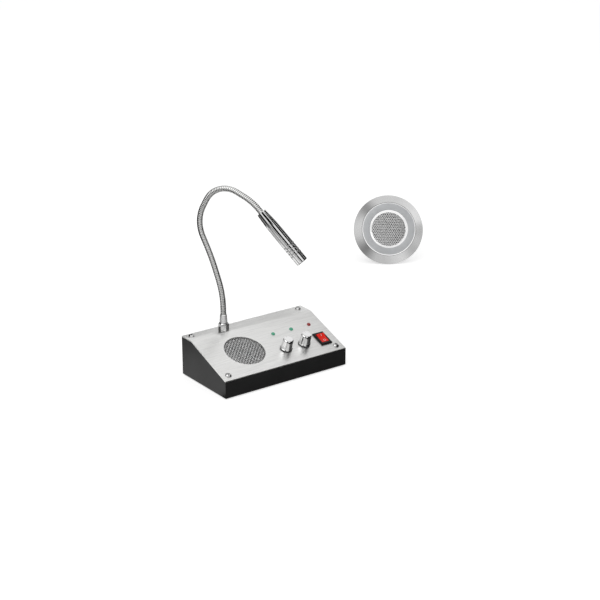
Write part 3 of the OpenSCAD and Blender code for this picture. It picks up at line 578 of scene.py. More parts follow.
def block(name, low, high, place=Matrix()):
    """A plain box, used only as a cutter or as the start of a bevelled shape."""
    shape = bmesh.new()
    bmesh.ops.create_cube(shape, size=1)
    for corner in shape.verts:
        corner.co = [MM * (a + (b - a) * (c + 0.5)) for a, b, c in zip(low, high, corner.co)]
    return in_scene(name, mesh_of(name, shape, place))


def combined(piece, tool, operation="DIFFERENCE"):
    """Cuts a tool out of a piece, or keeps only what they share; the tool is used up."""
    cut = piece.modifiers.new("cut", "BOOLEAN")
    cut.object, cut.operation, cut.solver = tool, operation, "EXACT"
    evaluated(piece)
    bpy.data.objects.remove(tool)


def placed(piece, place, angle):
    """Moves a piece that was cut at the origin to its place, and shades it again."""
    piece.data.transform(place)
    smooth(piece.data, angle)
    return piece


def eased(piece, width, segments=2, angle=30):
    """Rounds the sharp edges of a piece by a small width."""
    shape = bmesh.new()
    shape.from_mesh(piece.data)
    bmesh.ops.remove_doubles(shape, verts=shape.verts, dist=1e-6)
    bmesh.ops.dissolve_limit(shape, angle_limit=radians(0.5), verts=shape.verts, edges=shape.edges)
    shape.to_mesh(piece.data)
    shape.free()
    edge = piece.modifiers.new("ease", "BEVEL")
    edge.width, edge.segments = width * MM, segments
    edge.limit_method, edge.angle_limit = "ANGLE", radians(angle)
    smooth(piece.data, angle)
    flat = piece.modifiers.new("flat", "WEIGHTED_NORMAL")
    flat.weight, flat.keep_sharp = 100, True
    return evaluated(piece)


def dressed(node, width, segments=2, angle=30):
    """A copy of a CAD node with its sharp edges eased."""
    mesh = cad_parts[node].data.copy()
    mesh.materials.clear()
    piece = in_scene(node + "_eased", mesh)
    return eased(piece, width, segments, angle)


# ---- Geometry Nodes ----


def grown(name, build, sizes, finish, place=Matrix(), start=None, angle=32):
    """Geometry Nodes make the mesh from the named sizes; it becomes a plain mesh."""
    tree = bpy.data.node_groups.new(name, "GeometryNodeTree")
    kinds = {int: "NodeSocketInt", float: "NodeSocketFloat", bpy.types.Object: "NodeSocketObject"}
    ids = {}
    tree.interface.new_socket("Start", in_out="INPUT", socket_type="NodeSocketGeometry")
    for label, value in sizes.items():
        made = tree.interface.new_socket(label, in_out="INPUT", socket_type=kinds[type(value)])
        ids[label] = made.identifier
    tree.interface.new_socket("Mesh", in_out="OUTPUT", socket_type="NodeSocketGeometry")
    given = tree.nodes.new("NodeGroupInput")
    shape = build({s.name: Wire(tree, s) for s in given.outputs if s.name})
    shape = shape.geometry("RealizeInstances", {"Geometry": shape})
    shape = shape.geometry("SetMaterial", {"Geometry": shape, "Material": FINISHES[finish]})
    end = tree.nodes.new("NodeGroupOutput")
    tree.links.new(shape.socket, end.inputs[0])
    piece = in_scene(name, start or bpy.data.meshes.new(name))
    maker = piece.modifiers.new(name, "NODES")
    maker.node_group = tree
    for label, value in sizes.items():
        maker[ids[label]] = value
    evaluated(piece)
    piece.data.transform(place)
    faces_out(piece.data)
    smooth(piece.data, angle)
    return piece


def points_mesh(name, spots):
    """Loose points, each spot with its place in metres, the direction it faces and its spin."""
    mesh = bpy.data.meshes.new(name)
    mesh.from_pydata([s[0] for s in spots], [], [])
    for label, kind in (("facing", "FLOAT_VECTOR"), ("spin", "FLOAT")):
        mesh.attributes.new(label, kind, "POINT")
    for k, (_, way, angle) in enumerate(spots):
        mesh.attributes["facing"].data[k].vector = way
        mesh.attributes["spin"].data[k].value = angle
    return mesh


def set_at_points(given):
    """One copy of the part at every point, along its facing and turned by its spin."""
    start = given["Start"]
    facing, spin = start.attribute("facing", "FLOAT_VECTOR"), start.attribute("spin")
    upright = start.node("FunctionNodeAlignRotationToVector", {"Vector": facing}, axis="Z")
    twist = start.node("FunctionNodeAxisAngleToRotation", {"Axis": (0, 0, 1), "Angle": spin})
    turned_by = {"Rotation": upright, "Rotate By": twist}
    rotation = start.node("FunctionNodeRotateRotation", turned_by, rotation_space="LOCAL")
    part = start.geometry("ObjectInfo", {"Object": given["Part"]}, out="Geometry")
    points = start.geometry("MeshToPoints", {"Mesh": start})
    values = {"Points": points, "Instance": part, "Rotation": rotation}
    return start.geometry("InstanceOnPoints", values)


def many(name, part, spots, finish):
    """Copies of a small part at the spots, made from the one given, which is used up."""
    points = points_mesh(name, spots)
    piece = grown(name, set_at_points, {"Part": part}, finish, start=points)
    bpy.data.objects.remove(part)
    return piece


def woven(given):
    """Woven wire cut to a disc: waved wires one way, and the same turned across them."""
    start = given["Start"]
    radius, pitch, wire = (given[label] for label in ("Radius", "Pitch", "Wire"))
    reach = (radius / pitch).maths("CEIL")
    corner, across = start.vector(Y=0 - reach * pitch), start.vector(Y=pitch)
    rows = start.geometry("MeshLine", {"Count": reach * 2 + 1, "Start Location": corner, "Offset": across})
    left, along = start.vector(X=0 - reach * pitch), start.vector(X=pitch / 2)
    strand = start.geometry("MeshLine", {"Count": reach * 4 + 1, "Start Location": left, "Offset": along})
    cloth = start.geometry("InstanceOnPoints", {"Points": rows, "Instance": strand})
    cloth = start.geometry("RealizeInstances", {"Geometry": cloth})
    x, y, _ = start.geometry("InputPosition").parted()
    wave = ((x / pitch + y / pitch) * pi).maths("COSINE")
    lift = start.vector(Z=wave * wire * 0.5)
    cloth = start.geometry("SetPosition", {"Geometry": cloth, "Offset": lift})
    outside = ((x * x + y * y) ** 0.5).above(radius)
    cloth = start.geometry("DeleteGeometry", {"Geometry": cloth, "Selection": outside})
    lines = start.geometry("MeshToCurve", {"Mesh": cloth})
    section = start.geometry("CurvePrimitiveCircle", {"Resolution": 5, "Radius": wire / 2})
    wires = start.geometry("CurveToMesh", {"Curve": lines, "Profile Curve": section, "Fill Caps": True})
    crossing = start.geometry("Transform", {"Geometry": wires, "Rotation": (pi, 0, pi / 2)})
    return start.joined(crossing, wires)


def perforated(given):
    """A sheet of six-sided cells, each with a round hole, in staggered rows on a disc."""
    start = given["Start"]
    radius, pitch, hole, thick = (given[label] for label in ("Radius", "Pitch", "Hole", "Thickness"))
    near = 1e-5
    tube = {"Vertices": 12, "Side Segments": 1, "Radius": 1.0, "Depth": 2.0}
    cell = start.geometry("MeshCylinder", tube, out="Mesh", fill_type="NONE")
    x, y, z = start.geometry("InputPosition").parted()
    sixth = pi / 3
    # A whole turn is added first, so that the share of a side is never below 0.
    share = (y.maths("ARCTAN2", x) / sixth + 6.5).maths("FRACT")
    outline = pitch / 2 / (share * sixth - sixth / 2).maths("COSINE")
    reach = z.above(0) * outline + z.below(0) * hole / 2
    flat = start.vector(X=x * reach, Y=y * reach)
    cell = start.geometry("SetPosition", {"Geometry": cell, "Position": flat})
    rows = (radius / pitch).maths("CEIL") * 2 + 3
    row_step = sqrt(3) / 2
    width = (rows - 1) * pitch
    values = {"Size X": width, "Size Y": width * row_step, "Vertices X": rows, "Vertices Y": rows}
    grid = start.geometry("MeshGrid", values)
    grid_x, grid_y, _ = start.geometry("InputPosition").parted()
    odd = (grid_y / (pitch * row_step)).maths("ROUND").maths("FLOORED_MODULO", 2)
    shifted = start.vector(X=odd * pitch / 2)
    grid = start.geometry("SetPosition", {"Geometry": grid, "Offset": shifted})
    outside = ((grid_x * grid_x + grid_y * grid_y) ** 0.5).above(radius - pitch * 0.6)
    spots = start.geometry("DeleteGeometry", {"Geometry": grid, "Selection": outside})
    cells = start.geometry("InstanceOnPoints", {"Points": spots, "Instance": cell})
    cells = start.geometry("RealizeInstances", {"Geometry": cells})
    sheet = start.geometry("MergeByDistance", {"Geometry": cells, "Distance": near})
    down = {"Mesh": sheet, "Offset": (0, 0, -1), "Offset Scale": thick, "Individual": False}
    back = start.geometry("ExtrudeMesh", down, mode="FACES")
    front = start.geometry("FlipFaces", {"Mesh": sheet})
    both = {"Geometry": start.joined(front, back), "Distance": near}
    return start.geometry("MergeByDistance", both)


def wound(given):
    """The hose of the gooseneck: wire wound along the path, as ribs that climb it."""
    start = given["Start"]
    pitch, radius, depth = (given[label] for label in ("Pitch", "Radius", "Depth"))
    steps_a_turn, sides, bluntness = 9, 28, 3.2

    def stored(shape, name, value):
        values = {"Geometry": shape, "Name": name, "Value": value}
        return start.geometry("StoreNamedAttribute", values, data_type="FLOAT", domain="POINT")

    path = start.geometry("MeshToCurve", {"Mesh": start})
    step = pitch / steps_a_turn
    path = start.geometry("ResampleCurve", {"Curve": path, "Length": step}, mode="LENGTH")
    path = stored(path, "along", start.geometry("SplineParameter", out="Length"))
    section = start.geometry("CurvePrimitiveCircle", {"Resolution": sides, "Radius": radius - depth})
    section = stored(section, "round", start.geometry("SplineParameter", out="Factor"))
    hose = start.geometry("CurveToMesh", {"Curve": path, "Profile Curve": section})
    swing = (start.attribute("along") / pitch + start.attribute("round")).maths("FRACT") * 2 - 1
    rib = 1 - swing.maths("ABSOLUTE") ** bluntness
    # The rib attribute also sets the painted shade in the hose's seams, in its material.
    hose = stored(hose, "rib", rib)
    out = start.geometry("InputNormal")
    push = start.node("ShaderNodeVectorMath", {0: out, "Scale": rib * depth}, operation="SCALE")
    return start.geometry("SetPosition", {"Geometry": hose, "Offset": push})


# ---- Desk unit ----


def slope_spot(u, v):
    """A place on the slope, in metres."""
    return ON_SLOPE @ Vector((u * MM, v * MM, 0))


def make_body():
    """The tray, the steel panel, the feet and the sockets, each with its edges eased."""
    pieces = (
        ("base_tray", "tray_plastic", 0.35), ("top_panel", "panel_steel", 0.3),
        ("rubber_feet", "foot_rubber", 0.3), ("power_socket", "switch_black", 0.3),
        ("audio_sockets", "switch_black", 0.25),
    )
    for node, slot, width in pieces:
        fixed(dressed(node, width), "base", slot, node)


def pan_head(name, head_r, head_h, shank_r, length):
    """A cross-recess pan head screw, its seat at z = 0."""
    outline = [
        (0, -length, 0), (shank_r * 0.5, -length, 0), (shank_r, -length + 1, 0.2),
        (shank_r, 0, 0), (head_r - 0.1, 0, 0), (head_r, 0.25, 0.15),
        (head_r * 0.97, head_h * 0.45, 0.6), (head_r * 0.62, head_h * 0.92, 0.8), (0, head_h, 0),
    ]
    screw = lathe(name, rounded(outline), steps=40, angle=40)
    arm, half_width, floor = head_r * 0.56, head_r * 0.16, head_h * 0.3
    for angle in (0, pi / 2):
        low, high = (-arm, -half_width, floor), (arm, half_width, head_h + 1)
        combined(screw, block("recess", low, high, turn(angle, "Z")))
    return screw


def make_panel_screws():
    """Two screws near the slope's front edge and two at the back, each driven to its own turn."""
    side, front, back = BODY_W / 2 - 9, 8, BODY_D / 2 - 7.3
    up = Vector((0, 0, 1))
    spots = []
    for k, u in enumerate((-side, side)):
        spots.append((slope_spot(u, front), OUT_OF_SLOPE, 0.5 + k))
        spots.append((Vector((u, back, FOOT_H + BACK_H)) * MM, up, 1.1 + 0.6 * k))
    head = pan_head("panel_screw", head_r=3.65, head_h=2.1, shank_r=1.7, length=9)
    fixed(many("panel_screw_heads", head, spots, "screw_steel"), "base", "screw_steel", "panel_screws")


def make_speaker_grille():
    """Woven wire behind the panel's round hole."""
    wire = 0.78
    sizes = {"Radius": 27.5 * MM, "Pitch": 2.2 * MM, "Wire": wire * MM}
    place = ON_SLOPE @ shift(*SPEAKER, -PANEL_T - wire)
    grille = grown("speaker_grille", woven, sizes, "mesh_steel", place, angle=60)
    fixed(grille, "base", "mesh_steel", "speaker_mesh")


def make_knobs():
    """Two turned knobs, each with a seat painted black as a painted shadow, a bead above it and a pointer's
    groove.
    """
    seat_r, bead_r, waist_r, top_r = 7.2, 7.4, 6.55, 6.2
    hollow_r, hollow_top, bore_r, bore_top = 5.9, 4.2, 3.02, 12.6
    outside = [
        (hollow_r, 0.5, 0), (seat_r, 0.5, 0.1), (seat_r, SEAT_TOP, 0), (bead_r, SEAT_TOP + 0.15, 0.1),
        (bead_r, 2.0, 0.2), (6.95, 2.5, 0.4), (waist_r, 6, 4), (top_r, 12.6, 1.2), (6.05, 13.6, 0.5),
        (5.3, 14.45, 0.7), (4.2, 14.3, 0.6), (0, 14.1, 0),
    ]
    inside = [
        (0, bore_top, 0), (bore_r, bore_top, 0.1), (bore_r, hollow_top, 0.1), (hollow_r, hollow_top, 0.2),
    ]
    low, high = (-0.35, 3.4, 13.75), (0.35, 9, 16)
    for body, u in zip(("knob_left", "knob_right"), COLUMNS):
        shell = rounded(outside) + rounded(inside)
        piece = lathe(body + "_spun", shell, steps=128, closed=True, angle=38)
        combined(piece, block("groove", low, high))
        for finish in ("knob_chrome", "switch_black"):
            piece.data.materials.append(FINISHES[finish])
        # Faces below the seat's top take the black finish: a painted shadow at the knob's foot.
        for face in piece.data.polygons:
            face.material_index = int(face.center.z < SEAT_TOP * MM)
        placed(piece, ON_SLOPE @ shift(u, KNOB_V, 0), 38)
        fixed(piece, body, "knob_chrome", body)


def make_lamps():
    """Domed lenses, each with a stem and a flange under the panel: two green and one red."""
    flange_r, flange_top, stem_r, lens_r, lens_foot = 2.4, -1.25, 1.95, 2.35, 0.02
    outline = [
        (0, -2.2, 0), (flange_r, -2.2, 0.1), (flange_r, flange_top, 0.1), (stem_r, flange_top, 0),
        (stem_r, lens_foot, 0), (lens_r, lens_foot, 0), (lens_r, 0.6, 0.3), (1.7, 1.3, 0.8), (0, 1.45, 0),
    ]
    for name, columns in (("green", COLUMNS[:2]), ("red", COLUMNS[2:])):
        dome = lathe("dome", rounded(outline), steps=32, angle=50)
        spots = [(slope_spot(u, LAMP_V), OUT_OF_SLOPE, 0.0) for u in columns]
        lenses = many(name + "_lenses", dome, spots, name + "_lens")
        fixed(lenses, "base", name + "_lens")


def make_switch():
    """The black frame, and the red rocker with a bar on one half and a ring on the other."""
    fixed(dressed("switch_body", 0.3, segments=3), "base", "switch_black", "switch_body")
    rocker = dressed("switch_rocker", 0.35, segments=3, angle=25)
    fixed(rocker, "rocker", "rocker_red", "switch_rocker")
    ridge, from_ridge, sunk, thick = 2, 3.9, 0.02, 0.06
    tipped = ON_SLOPE @ shift(COLUMNS[2], SWITCH_V, PIVOT_Z) @ turn(HALF_THROW, "X")
    middle = tipped @ shift(0, 0, (ridge - PIVOT_Z) / cos(HALF_THROW))
    for name, side in (("on_mark", 1), ("off_mark", -1)):
        place = middle @ turn(side * HALF_THROW, "X") @ shift(0, side * from_ridge, -sunk)
        if side > 0:
            bar = block(name, (-0.24, -1.5, 0), (0.24, 1.5, thick), place)
            mark = eased(bar, 0.02, segments=1)
        else:
            ring = [(1.65, 0), (1.65, thick), (1.2, thick), (1.2, 0)]
            mark = lathe(name, ring, place, steps=40, closed=True)
        fixed(mark, "rocker", "rocker_red", finish="mark_white")


# ---- Gooseneck and microphone ----


def neck_path():
    """The neck's middle line from its foot into the microphone, as (s, z) points."""
    in_ferrule, in_microphone = 0.6, 3
    points = [(0.0, NUT_H + FERRULE_H - in_ferrule), (0.0, JOINTS[0][1])]
    straight = (LINK_END, 0, 3)
    for (s, z, heading), run, angle in zip(JOINTS, RUNS, TURNS):
        for length, bend, count in (straight, (run, radians(angle), 24), straight):
            for _ in range(count):
                middle = heading + bend / count / 2
                s, z = s + length / count * sin(middle), z + length / count * cos(middle)
                heading += bend / count
                points.append((s, z))
    s, z, heading = JOINTS[5]
    points.append((s + in_microphone * sin(heading), z + in_microphone * cos(heading)))
    return points


def path_length_to(points, spot):
    """How far along the path its point nearest to a joint is."""
    total, best = 0.0, (inf, 0.0)
    for k, here in enumerate(points):
        if k:
            total += dist(points[k - 1], here)
        best = min(best, (dist(here, spot), total))
    return best[1]


def at_length(points, length):
    """The place at that length along the path, in metres."""
    for a, b in zip(points, points[1:]):
        step = dist(a, b)
        if length <= step:
            t = length / step
            return Vector((a[0] + (b[0] - a[0]) * t, 0, a[1] + (b[1] - a[1]) * t)) * MM
        length -= step
    return Vector((points[-1][0], 0, points[-1][1])) * MM


def part_of_hose(hose, name, low, high):
    """The stretch of the hose between two lengths, with its ends closed."""
    shape = bmesh.new()
    shape.from_mesh(hose.data)
    layer = shape.verts.layers.float["along"]
    middle = {f: sum(v[layer] for v in f.verts) / len(f.verts) / MM for f in shape.faces}
    gone = [f for f, at in middle.items() if not low <= at < high]
    bmesh.ops.delete(shape, geom=gone, context="FACES")
    bmesh.ops.holes_fill(shape, edges=[e for e in shape.edges if e.is_boundary], sides=0)
    bmesh.ops.recalc_face_normals(shape, faces=shape.faces)
    mesh = mesh_of(name, shape)
    mesh.materials.append(FINISHES["hose_chrome"])
    smooth(mesh, 70)
    return in_scene(name, mesh)


def make_neck():
    """The wound hose, cut halfway between joints; a stretch bends over some way round its joint."""
    points = neck_path()
    line = bpy.data.meshes.new("neck_path")
    edges = [(k, k + 1) for k in range(len(points) - 1)]
    line.from_pydata([(s * MM, 0, z * MM) for s, z in points], edges, [])
    sizes = {"Pitch": 2.1 * MM, "Radius": NECK_R * MM, "Depth": 0.42 * MM}
    hose = grown("hose", wound, sizes, "hose_chrome", IN_NECK_PLANE, line)
    # The crests at the top of the arch stay inside the solids' box.
    for corner in hose.data.vertices:
        corner.co.z = min(corner.co.z, CAD_BOX[1][2])
    bodies = ["base", "neck_1", "neck_2", "neck_3", "neck_4", "microphone"]
    at = [path_length_to(points, joint[:2]) for joint in JOINTS]
    cuts = [-inf, *((a + b) / 2 for a, b in zip(at, at[1:])), inf]
    reach, foot = 14, at[0] - 1.5
    for k, body in enumerate(bodies):
        piece = part_of_hose(hose, f"gooseneck_{k + 1}", cuts[k], cuts[k + 1])
        if body == "microphone":
            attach(piece, body)
        else:
            start = IN_NECK_PLANE @ at_length(points, max(at[k] - reach, foot))
            end = IN_NECK_PLANE @ at_length(points, at[k] + reach)
            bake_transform(piece, body, bodies[k + 1], start=start, end=end)
            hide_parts(f"neck_link_{k + 1}")
    bpy.data.objects.remove(hose)


def slot_cutter(length, width, depth):
    """A rounded slot's plug, its length along X and its depth along Z."""
    shape = bmesh.new()
    reach, steps = (length - width) / 2, 8
    outline = []
    for end, first in ((reach, -90), (-reach, 90)):
        for k in range(steps + 1):
            a = radians(first + 180 / steps * k)
            outline.append((end + width / 2 * cos(a), width / 2 * sin(a)))
    base = shape.faces.new([shape.verts.new((x * MM, y * MM, 0)) for x, y in outline])
    raised = bmesh.ops.extrude_face_region(shape, geom=[base])["geom"]
    tops = [part for part in raised if isinstance(part, bmesh.types.BMVert)]
    bmesh.ops.translate(shape, verts=tops, vec=(0, 0, depth * MM))
    bmesh.ops.recalc_face_normals(shape, faces=shape.faces)
    return in_scene("slot", mesh_of("slot", shape))


def make_microphone_tube():
    """The chromed tube, tapered towards the neck, with rings of slots round its far end."""
    socket_depth, easing, inner_r = 11, 12, MIC_R - MIC_WALL
    outline = rounded([
        (HOSE_BORE, 0, 0.1), (MIC_NECK_R, 0, 0.4), (MIC_R - 0.1, MIC_TAPER, 120),
        (MIC_R, MIC_TAPER + easing, 0), (MIC_R, TUBE_LEN, 0.08), (inner_r, TUBE_LEN, 0),
        (inner_r, MIC_TAPER, 0), (HOSE_BORE, socket_depth, 0),
    ], closed=True)
    tube = lathe("microphone_tube", braced(outline), steps=160, closed=True)
    spots = []
    rim = 1.2 + SLOT_W / 2
    for ring in range(MIC_RINGS):
        up = TUBE_LEN - MIC_BAND + rim + (MIC_BAND - 2 * rim) / (MIC_RINGS - 1) * ring
        for k in range(MIC_SLOTS):
            bearing = tau / MIC_SLOTS * (k + ring / 2)
            way = Vector((cos(bearing), sin(bearing), 0))
            foot = way * (inner_r - 1) + Vector((0, 0, up))
            spots.append((foot * MM, way, bearing + pi / 2))
    slot = slot_cutter(0.62 * tau * MIC_R / MIC_SLOTS, SLOT_W, MIC_WALL + 2)
    combined(tube, many("slots", slot, spots, "mic_chrome"))
    fixed(placed(tube, ON_MIC, 30), "microphone", "mic_chrome", "mic_tube")


def make_microphone_cloth():
    """Pale cloth behind the slots."""
    radius = MIC_R - MIC_WALL - 0.1
    cloth = rod("microphone_cloth", radius, TUBE_LEN - MIC_BAND, TUBE_LEN, ON_MIC)
    fixed(cloth, "microphone", "speaker_foam", "mic_foam", finish="microphone_cloth")


def make_microphone_cap():
    """The chromed cap, with a hole in its middle and six round it."""
    seat, ceiling, hollow_r, chamfer = TUBE_LEN + 0.12, MIC_LEN - 1.2, CAPSULE_R + 0.1, 0.6
    shell = rounded([
        (MIC_R, seat, 0.08), (MIC_R, MIC_LEN - chamfer, 0.3), (MIC_R - chamfer, MIC_LEN, 0.25),
        (0, MIC_LEN, 0), (0, ceiling, 0), (hollow_r, ceiling, 0), (hollow_r, seat, 0),
    ])
    cap = lathe("microphone_cap", braced(shell), steps=160, closed=True)
    low, high, hole_r, from_middle = MIC_LEN - 2, MIC_LEN + 1, 0.8, 2.6
    for k in range(7):
        place = turn(radians(60 * k), "Z") @ shift(from_middle if k else 0, 0, 0)
        combined(cap, rod("hole", hole_r, low, high, place, steps=24))
    fixed(placed(cap, ON_MIC, 30), "microphone", "mic_chrome", "mic_cap")


def make_foot_nut():
    """The hexagon nut at the neck's foot, its corners turned down at the top and bottom."""
    corner, bore_r = 6.35, 5.05
    flat = corner * cos(pi / 6)
    nut = rod("foot_nut", corner, 0, NUT_H, steps=6)
    crown = [
        (0, 0), (corner - 0.5, 0), (corner + 0.1, 0.6), (corner + 0.1, NUT_H - 1.9),
        (flat - 0.4, NUT_H), (0, NUT_H),
    ]
    combined(nut, lathe("crown", crown, steps=96), "INTERSECT")
    combined(nut, rod("bore", bore_r, -1, NUT_H + 1))
    nut.data.transform(ON_NECK_FOOT @ turn(radians(23.7), "Z"))
    eased(nut, 0.15, angle=24)
    fixed(nut, "base", "neck_chrome", "neck_nut")


def make_ferrule():
    """The satin sleeve on the nut, out of which the hose comes."""
    collar = rounded([
        (HOSE_BORE, 0, 0), (4.6, 0, 0.1), (4.75, 0.3, 0.15), (4.65, 1.2, 0.3), (4.2, 9.6, 0.4),
        (3.9, FERRULE_H, 0.3), (HOSE_BORE, FERRULE_H, 0),
    ])
    ferrule = lathe("ferrule", collar, ON_NECK_FOOT @ shift(0, 0, NUT_H), steps=96, closed=True)
    fixed(ferrule, "base", "neck_chrome", "neck_ferrule", finish="ferrule_satin")


def make_neck_stud():
    """The hollow stud through the panel, with rings below it for a thread."""
    thread_r, thread_depth, half_pitch, stem_r, bore_r = 5, 0.55, 0.5, 3.3, 2.2
    low, high = -7.6, NUT_H + 9.6
    thread = [(thread_r - thread_depth * (k % 2), low + half_pitch * k) for k in range(15)]
    core = [
        (bore_r, low), *thread, (thread_r, -0.5), (thread_r, NUT_H), (stem_r, NUT_H), (stem_r, high),
        (bore_r, high),
    ]
    stud = lathe("neck_stud_threaded", core, ON_NECK_FOOT, steps=64, closed=True)
    fixed(stud, "base", "zinc_steel", "neck_stud")


# ---- Outside unit ----


def make_outer_collar():
    """The steel collar, its slope turned with fine grooves between the rim and the ring."""
    foot, top = (RIM_R, 0.9), (RING_R + 0.35, RING_H - 1.15)
    grooves, depth, inwards = 44, 0.014, (0.57, 0.82)
    slope = []
    for k in range(2 * grooves + 1):
        t = k / (2 * grooves)
        r, z = foot[0] + (top[0] - foot[0]) * t, foot[1] + (top[1] - foot[1]) * t
        dip = depth if k % 2 else 0.0
        slope.append((r - dip * inwards[0], z - dip * inwards[1]))
    ring_seat, mouth, underside = RING_R + 0.1, MOUTH_R - 0.5, 4.8
    back = [
        (ring_seat, top[1] - 0.4), (ring_seat, MESH_DECK), (mouth, MESH_DECK), (mouth, underside),
        (HOUSING_R, underside), (RIM_R - 2.8, 0), (RIM_R - 0.3, 0), (RIM_R, 0.25),
    ]
    collar = lathe("collar_turned", slope + back, ON_OUTER, steps=256, closed=True, angle=60)
    fixed(collar, "base", "outer_steel", "outer_collar")


def make_outer_ring():
    """The ring round the mesh: satin on its flat face and bright elsewhere."""
    profile = rounded([
        (RING_R, MESH_DECK, 0), (RING_R, RING_H - 1.3, 0.15), (RING_R - 1.2, RING_H, 0.15),
        (MOUTH_R, RING_H, 0.2), (MESH_R + 0.6, MESH_DECK + 2.4, 0.25),
        (MESH_R + 0.1, MESH_DECK + 1.9, 0.1), (MESH_R, MESH_DECK, 0),
    ])
    ring = lathe("ring_turned", profile, ON_OUTER, steps=256, closed=True, angle=24)
    for finish in ("outer_satin", "outer_bright"):
        ring.data.materials.append(FINISHES[finish])
    flat_face = 0.96
    for face in ring.data.polygons:
        face.material_index = int(face.normal.dot(OUT_OF_OUTER) < flat_face)
    fixed(ring, "base", "outer_satin", "outer_ring")


def make_outer_grille():
    """The perforated sheet in the ring's mouth, with dark cloth behind it."""
    sizes = {"Radius": 26.2 * MM, "Pitch": 2.7 * MM, "Hole": 1.65 * MM, "Thickness": 0.55 * MM}
    place = ON_OUTER @ shift(0, 0, MESH_DECK - 0.05)
    grille = grown("outer_grille", perforated, sizes, "mesh_steel", place, angle=40)
    fixed(grille, "base", "mesh_steel", "outer_mesh")
    cloth = rod("outer_dust_cloth", 25.8, MESH_DECK - 0.72, MESH_DECK - 0.64, ON_OUTER)
    fixed(cloth, "base", "speaker_foam")


def make_outer_housing():
    """The housing behind the collar, with its edges eased."""
    fixed(dressed("outer_housing", 0.5), "base", "housing_plastic", "outer_housing")


# ---- Room: camera, floor and light ----

# Curved cards that only reflections show: the point x, y they stand round, the radius of their
# lower and upper edges, first and last bearing, both edges' heights, and brightness, from black
# at 0.01 to the room's white at 1.
CARDS = (
    (-0.03, 0, 0.4, 0.4, 284, 323, 0.12, 0.65, 0.01),
    (-0.03, 0, 0.4, 0.4, 326, 364, 0.12, 0.62, 0.01),
    (-0.03, 0, 0.2, 0.2, 292, 357, 0, 0.15, 0.01),
    (-0.03, 0, 0.3, 0.3, 72, 100, 0.21, 0.38, 0.01),
    (-0.03, 0, 0.3, 0.3, 100, 145, 0.1, 0.38, 0.01),
    (-0.03, 0, 0.2, 0.2, 82, 156, 0, 0.2, 0.01),
    (-0.03, 0, 0.6, 0.6, 223, 251, 0.24, 0.77, 0.01),
    (-0.03, 0, 0.6, 0.6, 251, 264, 0.56, 0.77, 0.01),
    (-0.03, 0, 0.6, 0.6, 190, 228, 0.14, 0.19, 0.01),
    (-0.03, 0, 1.2, 1.2, 30, 80, 0.4, 0.58, 0.01),
    (0, 0.3, 0.345, 0.55, 240, 300, 0.0003, 0.0003, 0.01),
    (0.371, 0.2245, 0.14, 0.14, 155, 205, 0.01, 0.16, 1),
    (-0.035, 0.032, 0.12, 0.26, 5, 72, 0.0003, 0.0003, 0.01),
    (-0.03, 0, 0.2, 0.2, 156, 200, 0.08, 0.19, 0.01),
    (0.08, 0.02, 0.26, 0.26, 0, 65, 0.2, 0.37, 0.62),
    (0.005, -0.025, 0.2, 0.5, 155, 195, 0.0006, 0.0006, 0.45),
    (0.005, -0.025, 0.175, 0.22, 85, 150, 0.0006, 0.0006, 0.5),
    (-0.03, 0, 0.62, 0.62, 188, 216, 0, 0.2, 0.45),
)


def set_camera():
    """A long lens from the front left, looking down a little."""
    down, aside = radians(20.36), radians(36.26)
    eye = bpy.data.cameras.new("camera")
    eye.lens, eye.sensor_width = 90, 36
    camera = in_scene("camera", eye)
    camera.location = (-0.9273, -1.3342, 0.69)
    camera.rotation_euler = (pi / 2 - down, 0, -aside)
    bpy.context.scene.camera = camera
    bpy.context.scene.view_settings.view_transform = "Standard"


def meets_white(wire):
    """1 for the rays that meet a plain white room, as the camera's do, else 0."""
    rays = wire.tree.nodes.new("ShaderNodeLightPath")
    names = ("Is Camera Ray", "Is Glossy Ray", "Is Transmission Ray")
    camera_ray, glossy, through = (Wire(wire.tree, rays.outputs[name]) for name in names)
    return camera_ray.maths("MAXIMUM", glossy).maths("MAXIMUM", through)


def lay_floor():
    """White paper that glows a little, so that it looks as white as the room behind it."""

    def shade(wire):
        sheet = wire.node("ShaderNodeBsdfDiffuse", {"Color": (0.82, 0.82, 0.82, 1)})
        glow = wire.node("ShaderNodeEmission", {"Strength": meets_white(wire) * 0.60})
        return wire.node("ShaderNodeAddShader", {0: sheet, 1: glow})

    shape = bmesh.new()
    bmesh.ops.create_grid(shape, x_segments=2, y_segments=2, size=6)
    mesh = mesh_of("floor", shape)
    floor = in_scene("floor", mesh)
    floor.location.z = -0.0003
    paper = bpy.data.materials.new("white_paper")
    mesh.materials.append(shaded(paper, "ShaderNodeOutputMaterial", shade))


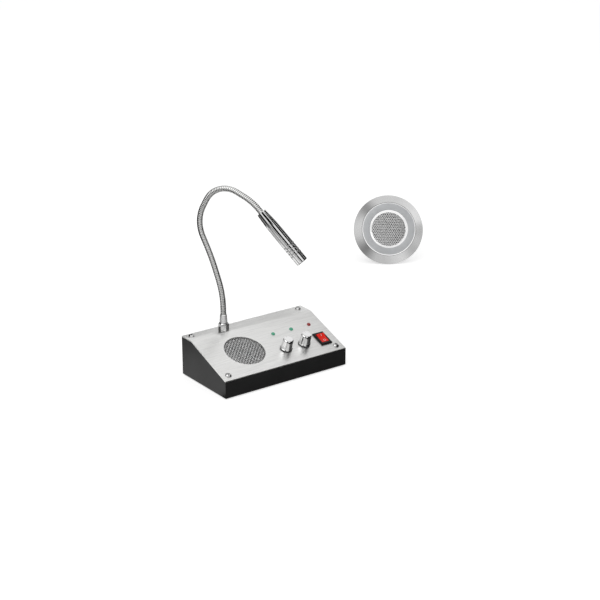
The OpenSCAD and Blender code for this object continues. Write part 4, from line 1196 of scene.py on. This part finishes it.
def light_room():
    """A dim room that shows plain white, a large lamp at the left and a weaker one at the right."""

    def shade(wire):
        soft = wire.node("ShaderNodeBackground", {"Color": (1, 1, 1, 1), "Strength": 0.45})
        white = wire.node("ShaderNodeBackground", {"Color": (1, 1, 1, 1), "Strength": 1.0})
        return wire.node("ShaderNodeMixShader", {0: meets_white(wire), 1: soft, 2: white})

    world = bpy.data.worlds.new("studio")
    bpy.context.scene.world = shaded(world, "ShaderNodeOutputWorld", shade)
    target = Vector((0.1, 0.1, 0.05))
    lamps = (("key", (-1.5, -0.6, 1.9), 2.2, 18), ("fill", (1.2, -1.1, 1.4), 1.6, 5))
    for name, spot, size, power in lamps:
        light = bpy.data.lights.new(name, "AREA")
        light.shape, light.size, light.energy = "SQUARE", size, power
        lamp = in_scene(name, light)
        lamp.location = spot
        lamp.rotation_euler = (target - Vector(spot)).to_track_quat("-Z", "Y").to_euler()


def stand_cards():
    """Each card is a strip of flat faces that shines evenly and casts no shadow."""
    steps = 12
    faces = [(j, j + 1, j + steps + 2, j + steps + 1) for j in range(steps)]
    for k, (x, y, near, far, start, end, low, high, tone) in enumerate(CARDS):
        ring = [radians(start + (end - start) * j / steps) for j in range(steps + 1)]
        edges = ((near, low), (far, high))
        corners = [(x + r * cos(a), y + r * sin(a), h) for r, h in edges for a in ring]
        mesh = bpy.data.meshes.new(f"card_{k}")
        mesh.from_pydata(corners, [], faces)
        paint = bpy.data.materials.new(f"card_{k}")
        glow = {"Strength": tone}
        shaded(paint, "ShaderNodeOutputMaterial", lambda wire: wire.node("ShaderNodeEmission", glow))
        mesh.materials.append(paint)
        card = in_scene(f"card_{k}", mesh)
        card.visible_camera = card.visible_diffuse = card.visible_shadow = False
        card.visible_transmission = False


# ---- The whole intercom ----

set_camera()
lay_floor()
light_room()
stand_cards()
make_body()
make_panel_screws()
make_speaker_grille()
make_knobs()
make_lamps()
make_switch()
make_neck()
make_foot_nut()
make_ferrule()
make_neck_stud()
make_microphone_tube()
make_microphone_cloth()
make_microphone_cap()
make_outer_collar()
make_outer_ring()
make_outer_grille()
make_outer_housing()

# Every solid, shown or not, gets the finish that its CAD material names.
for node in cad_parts.values():
    for slot in node.material_slots:
        slot.material = FINISHES[plain_name(slot.material)]
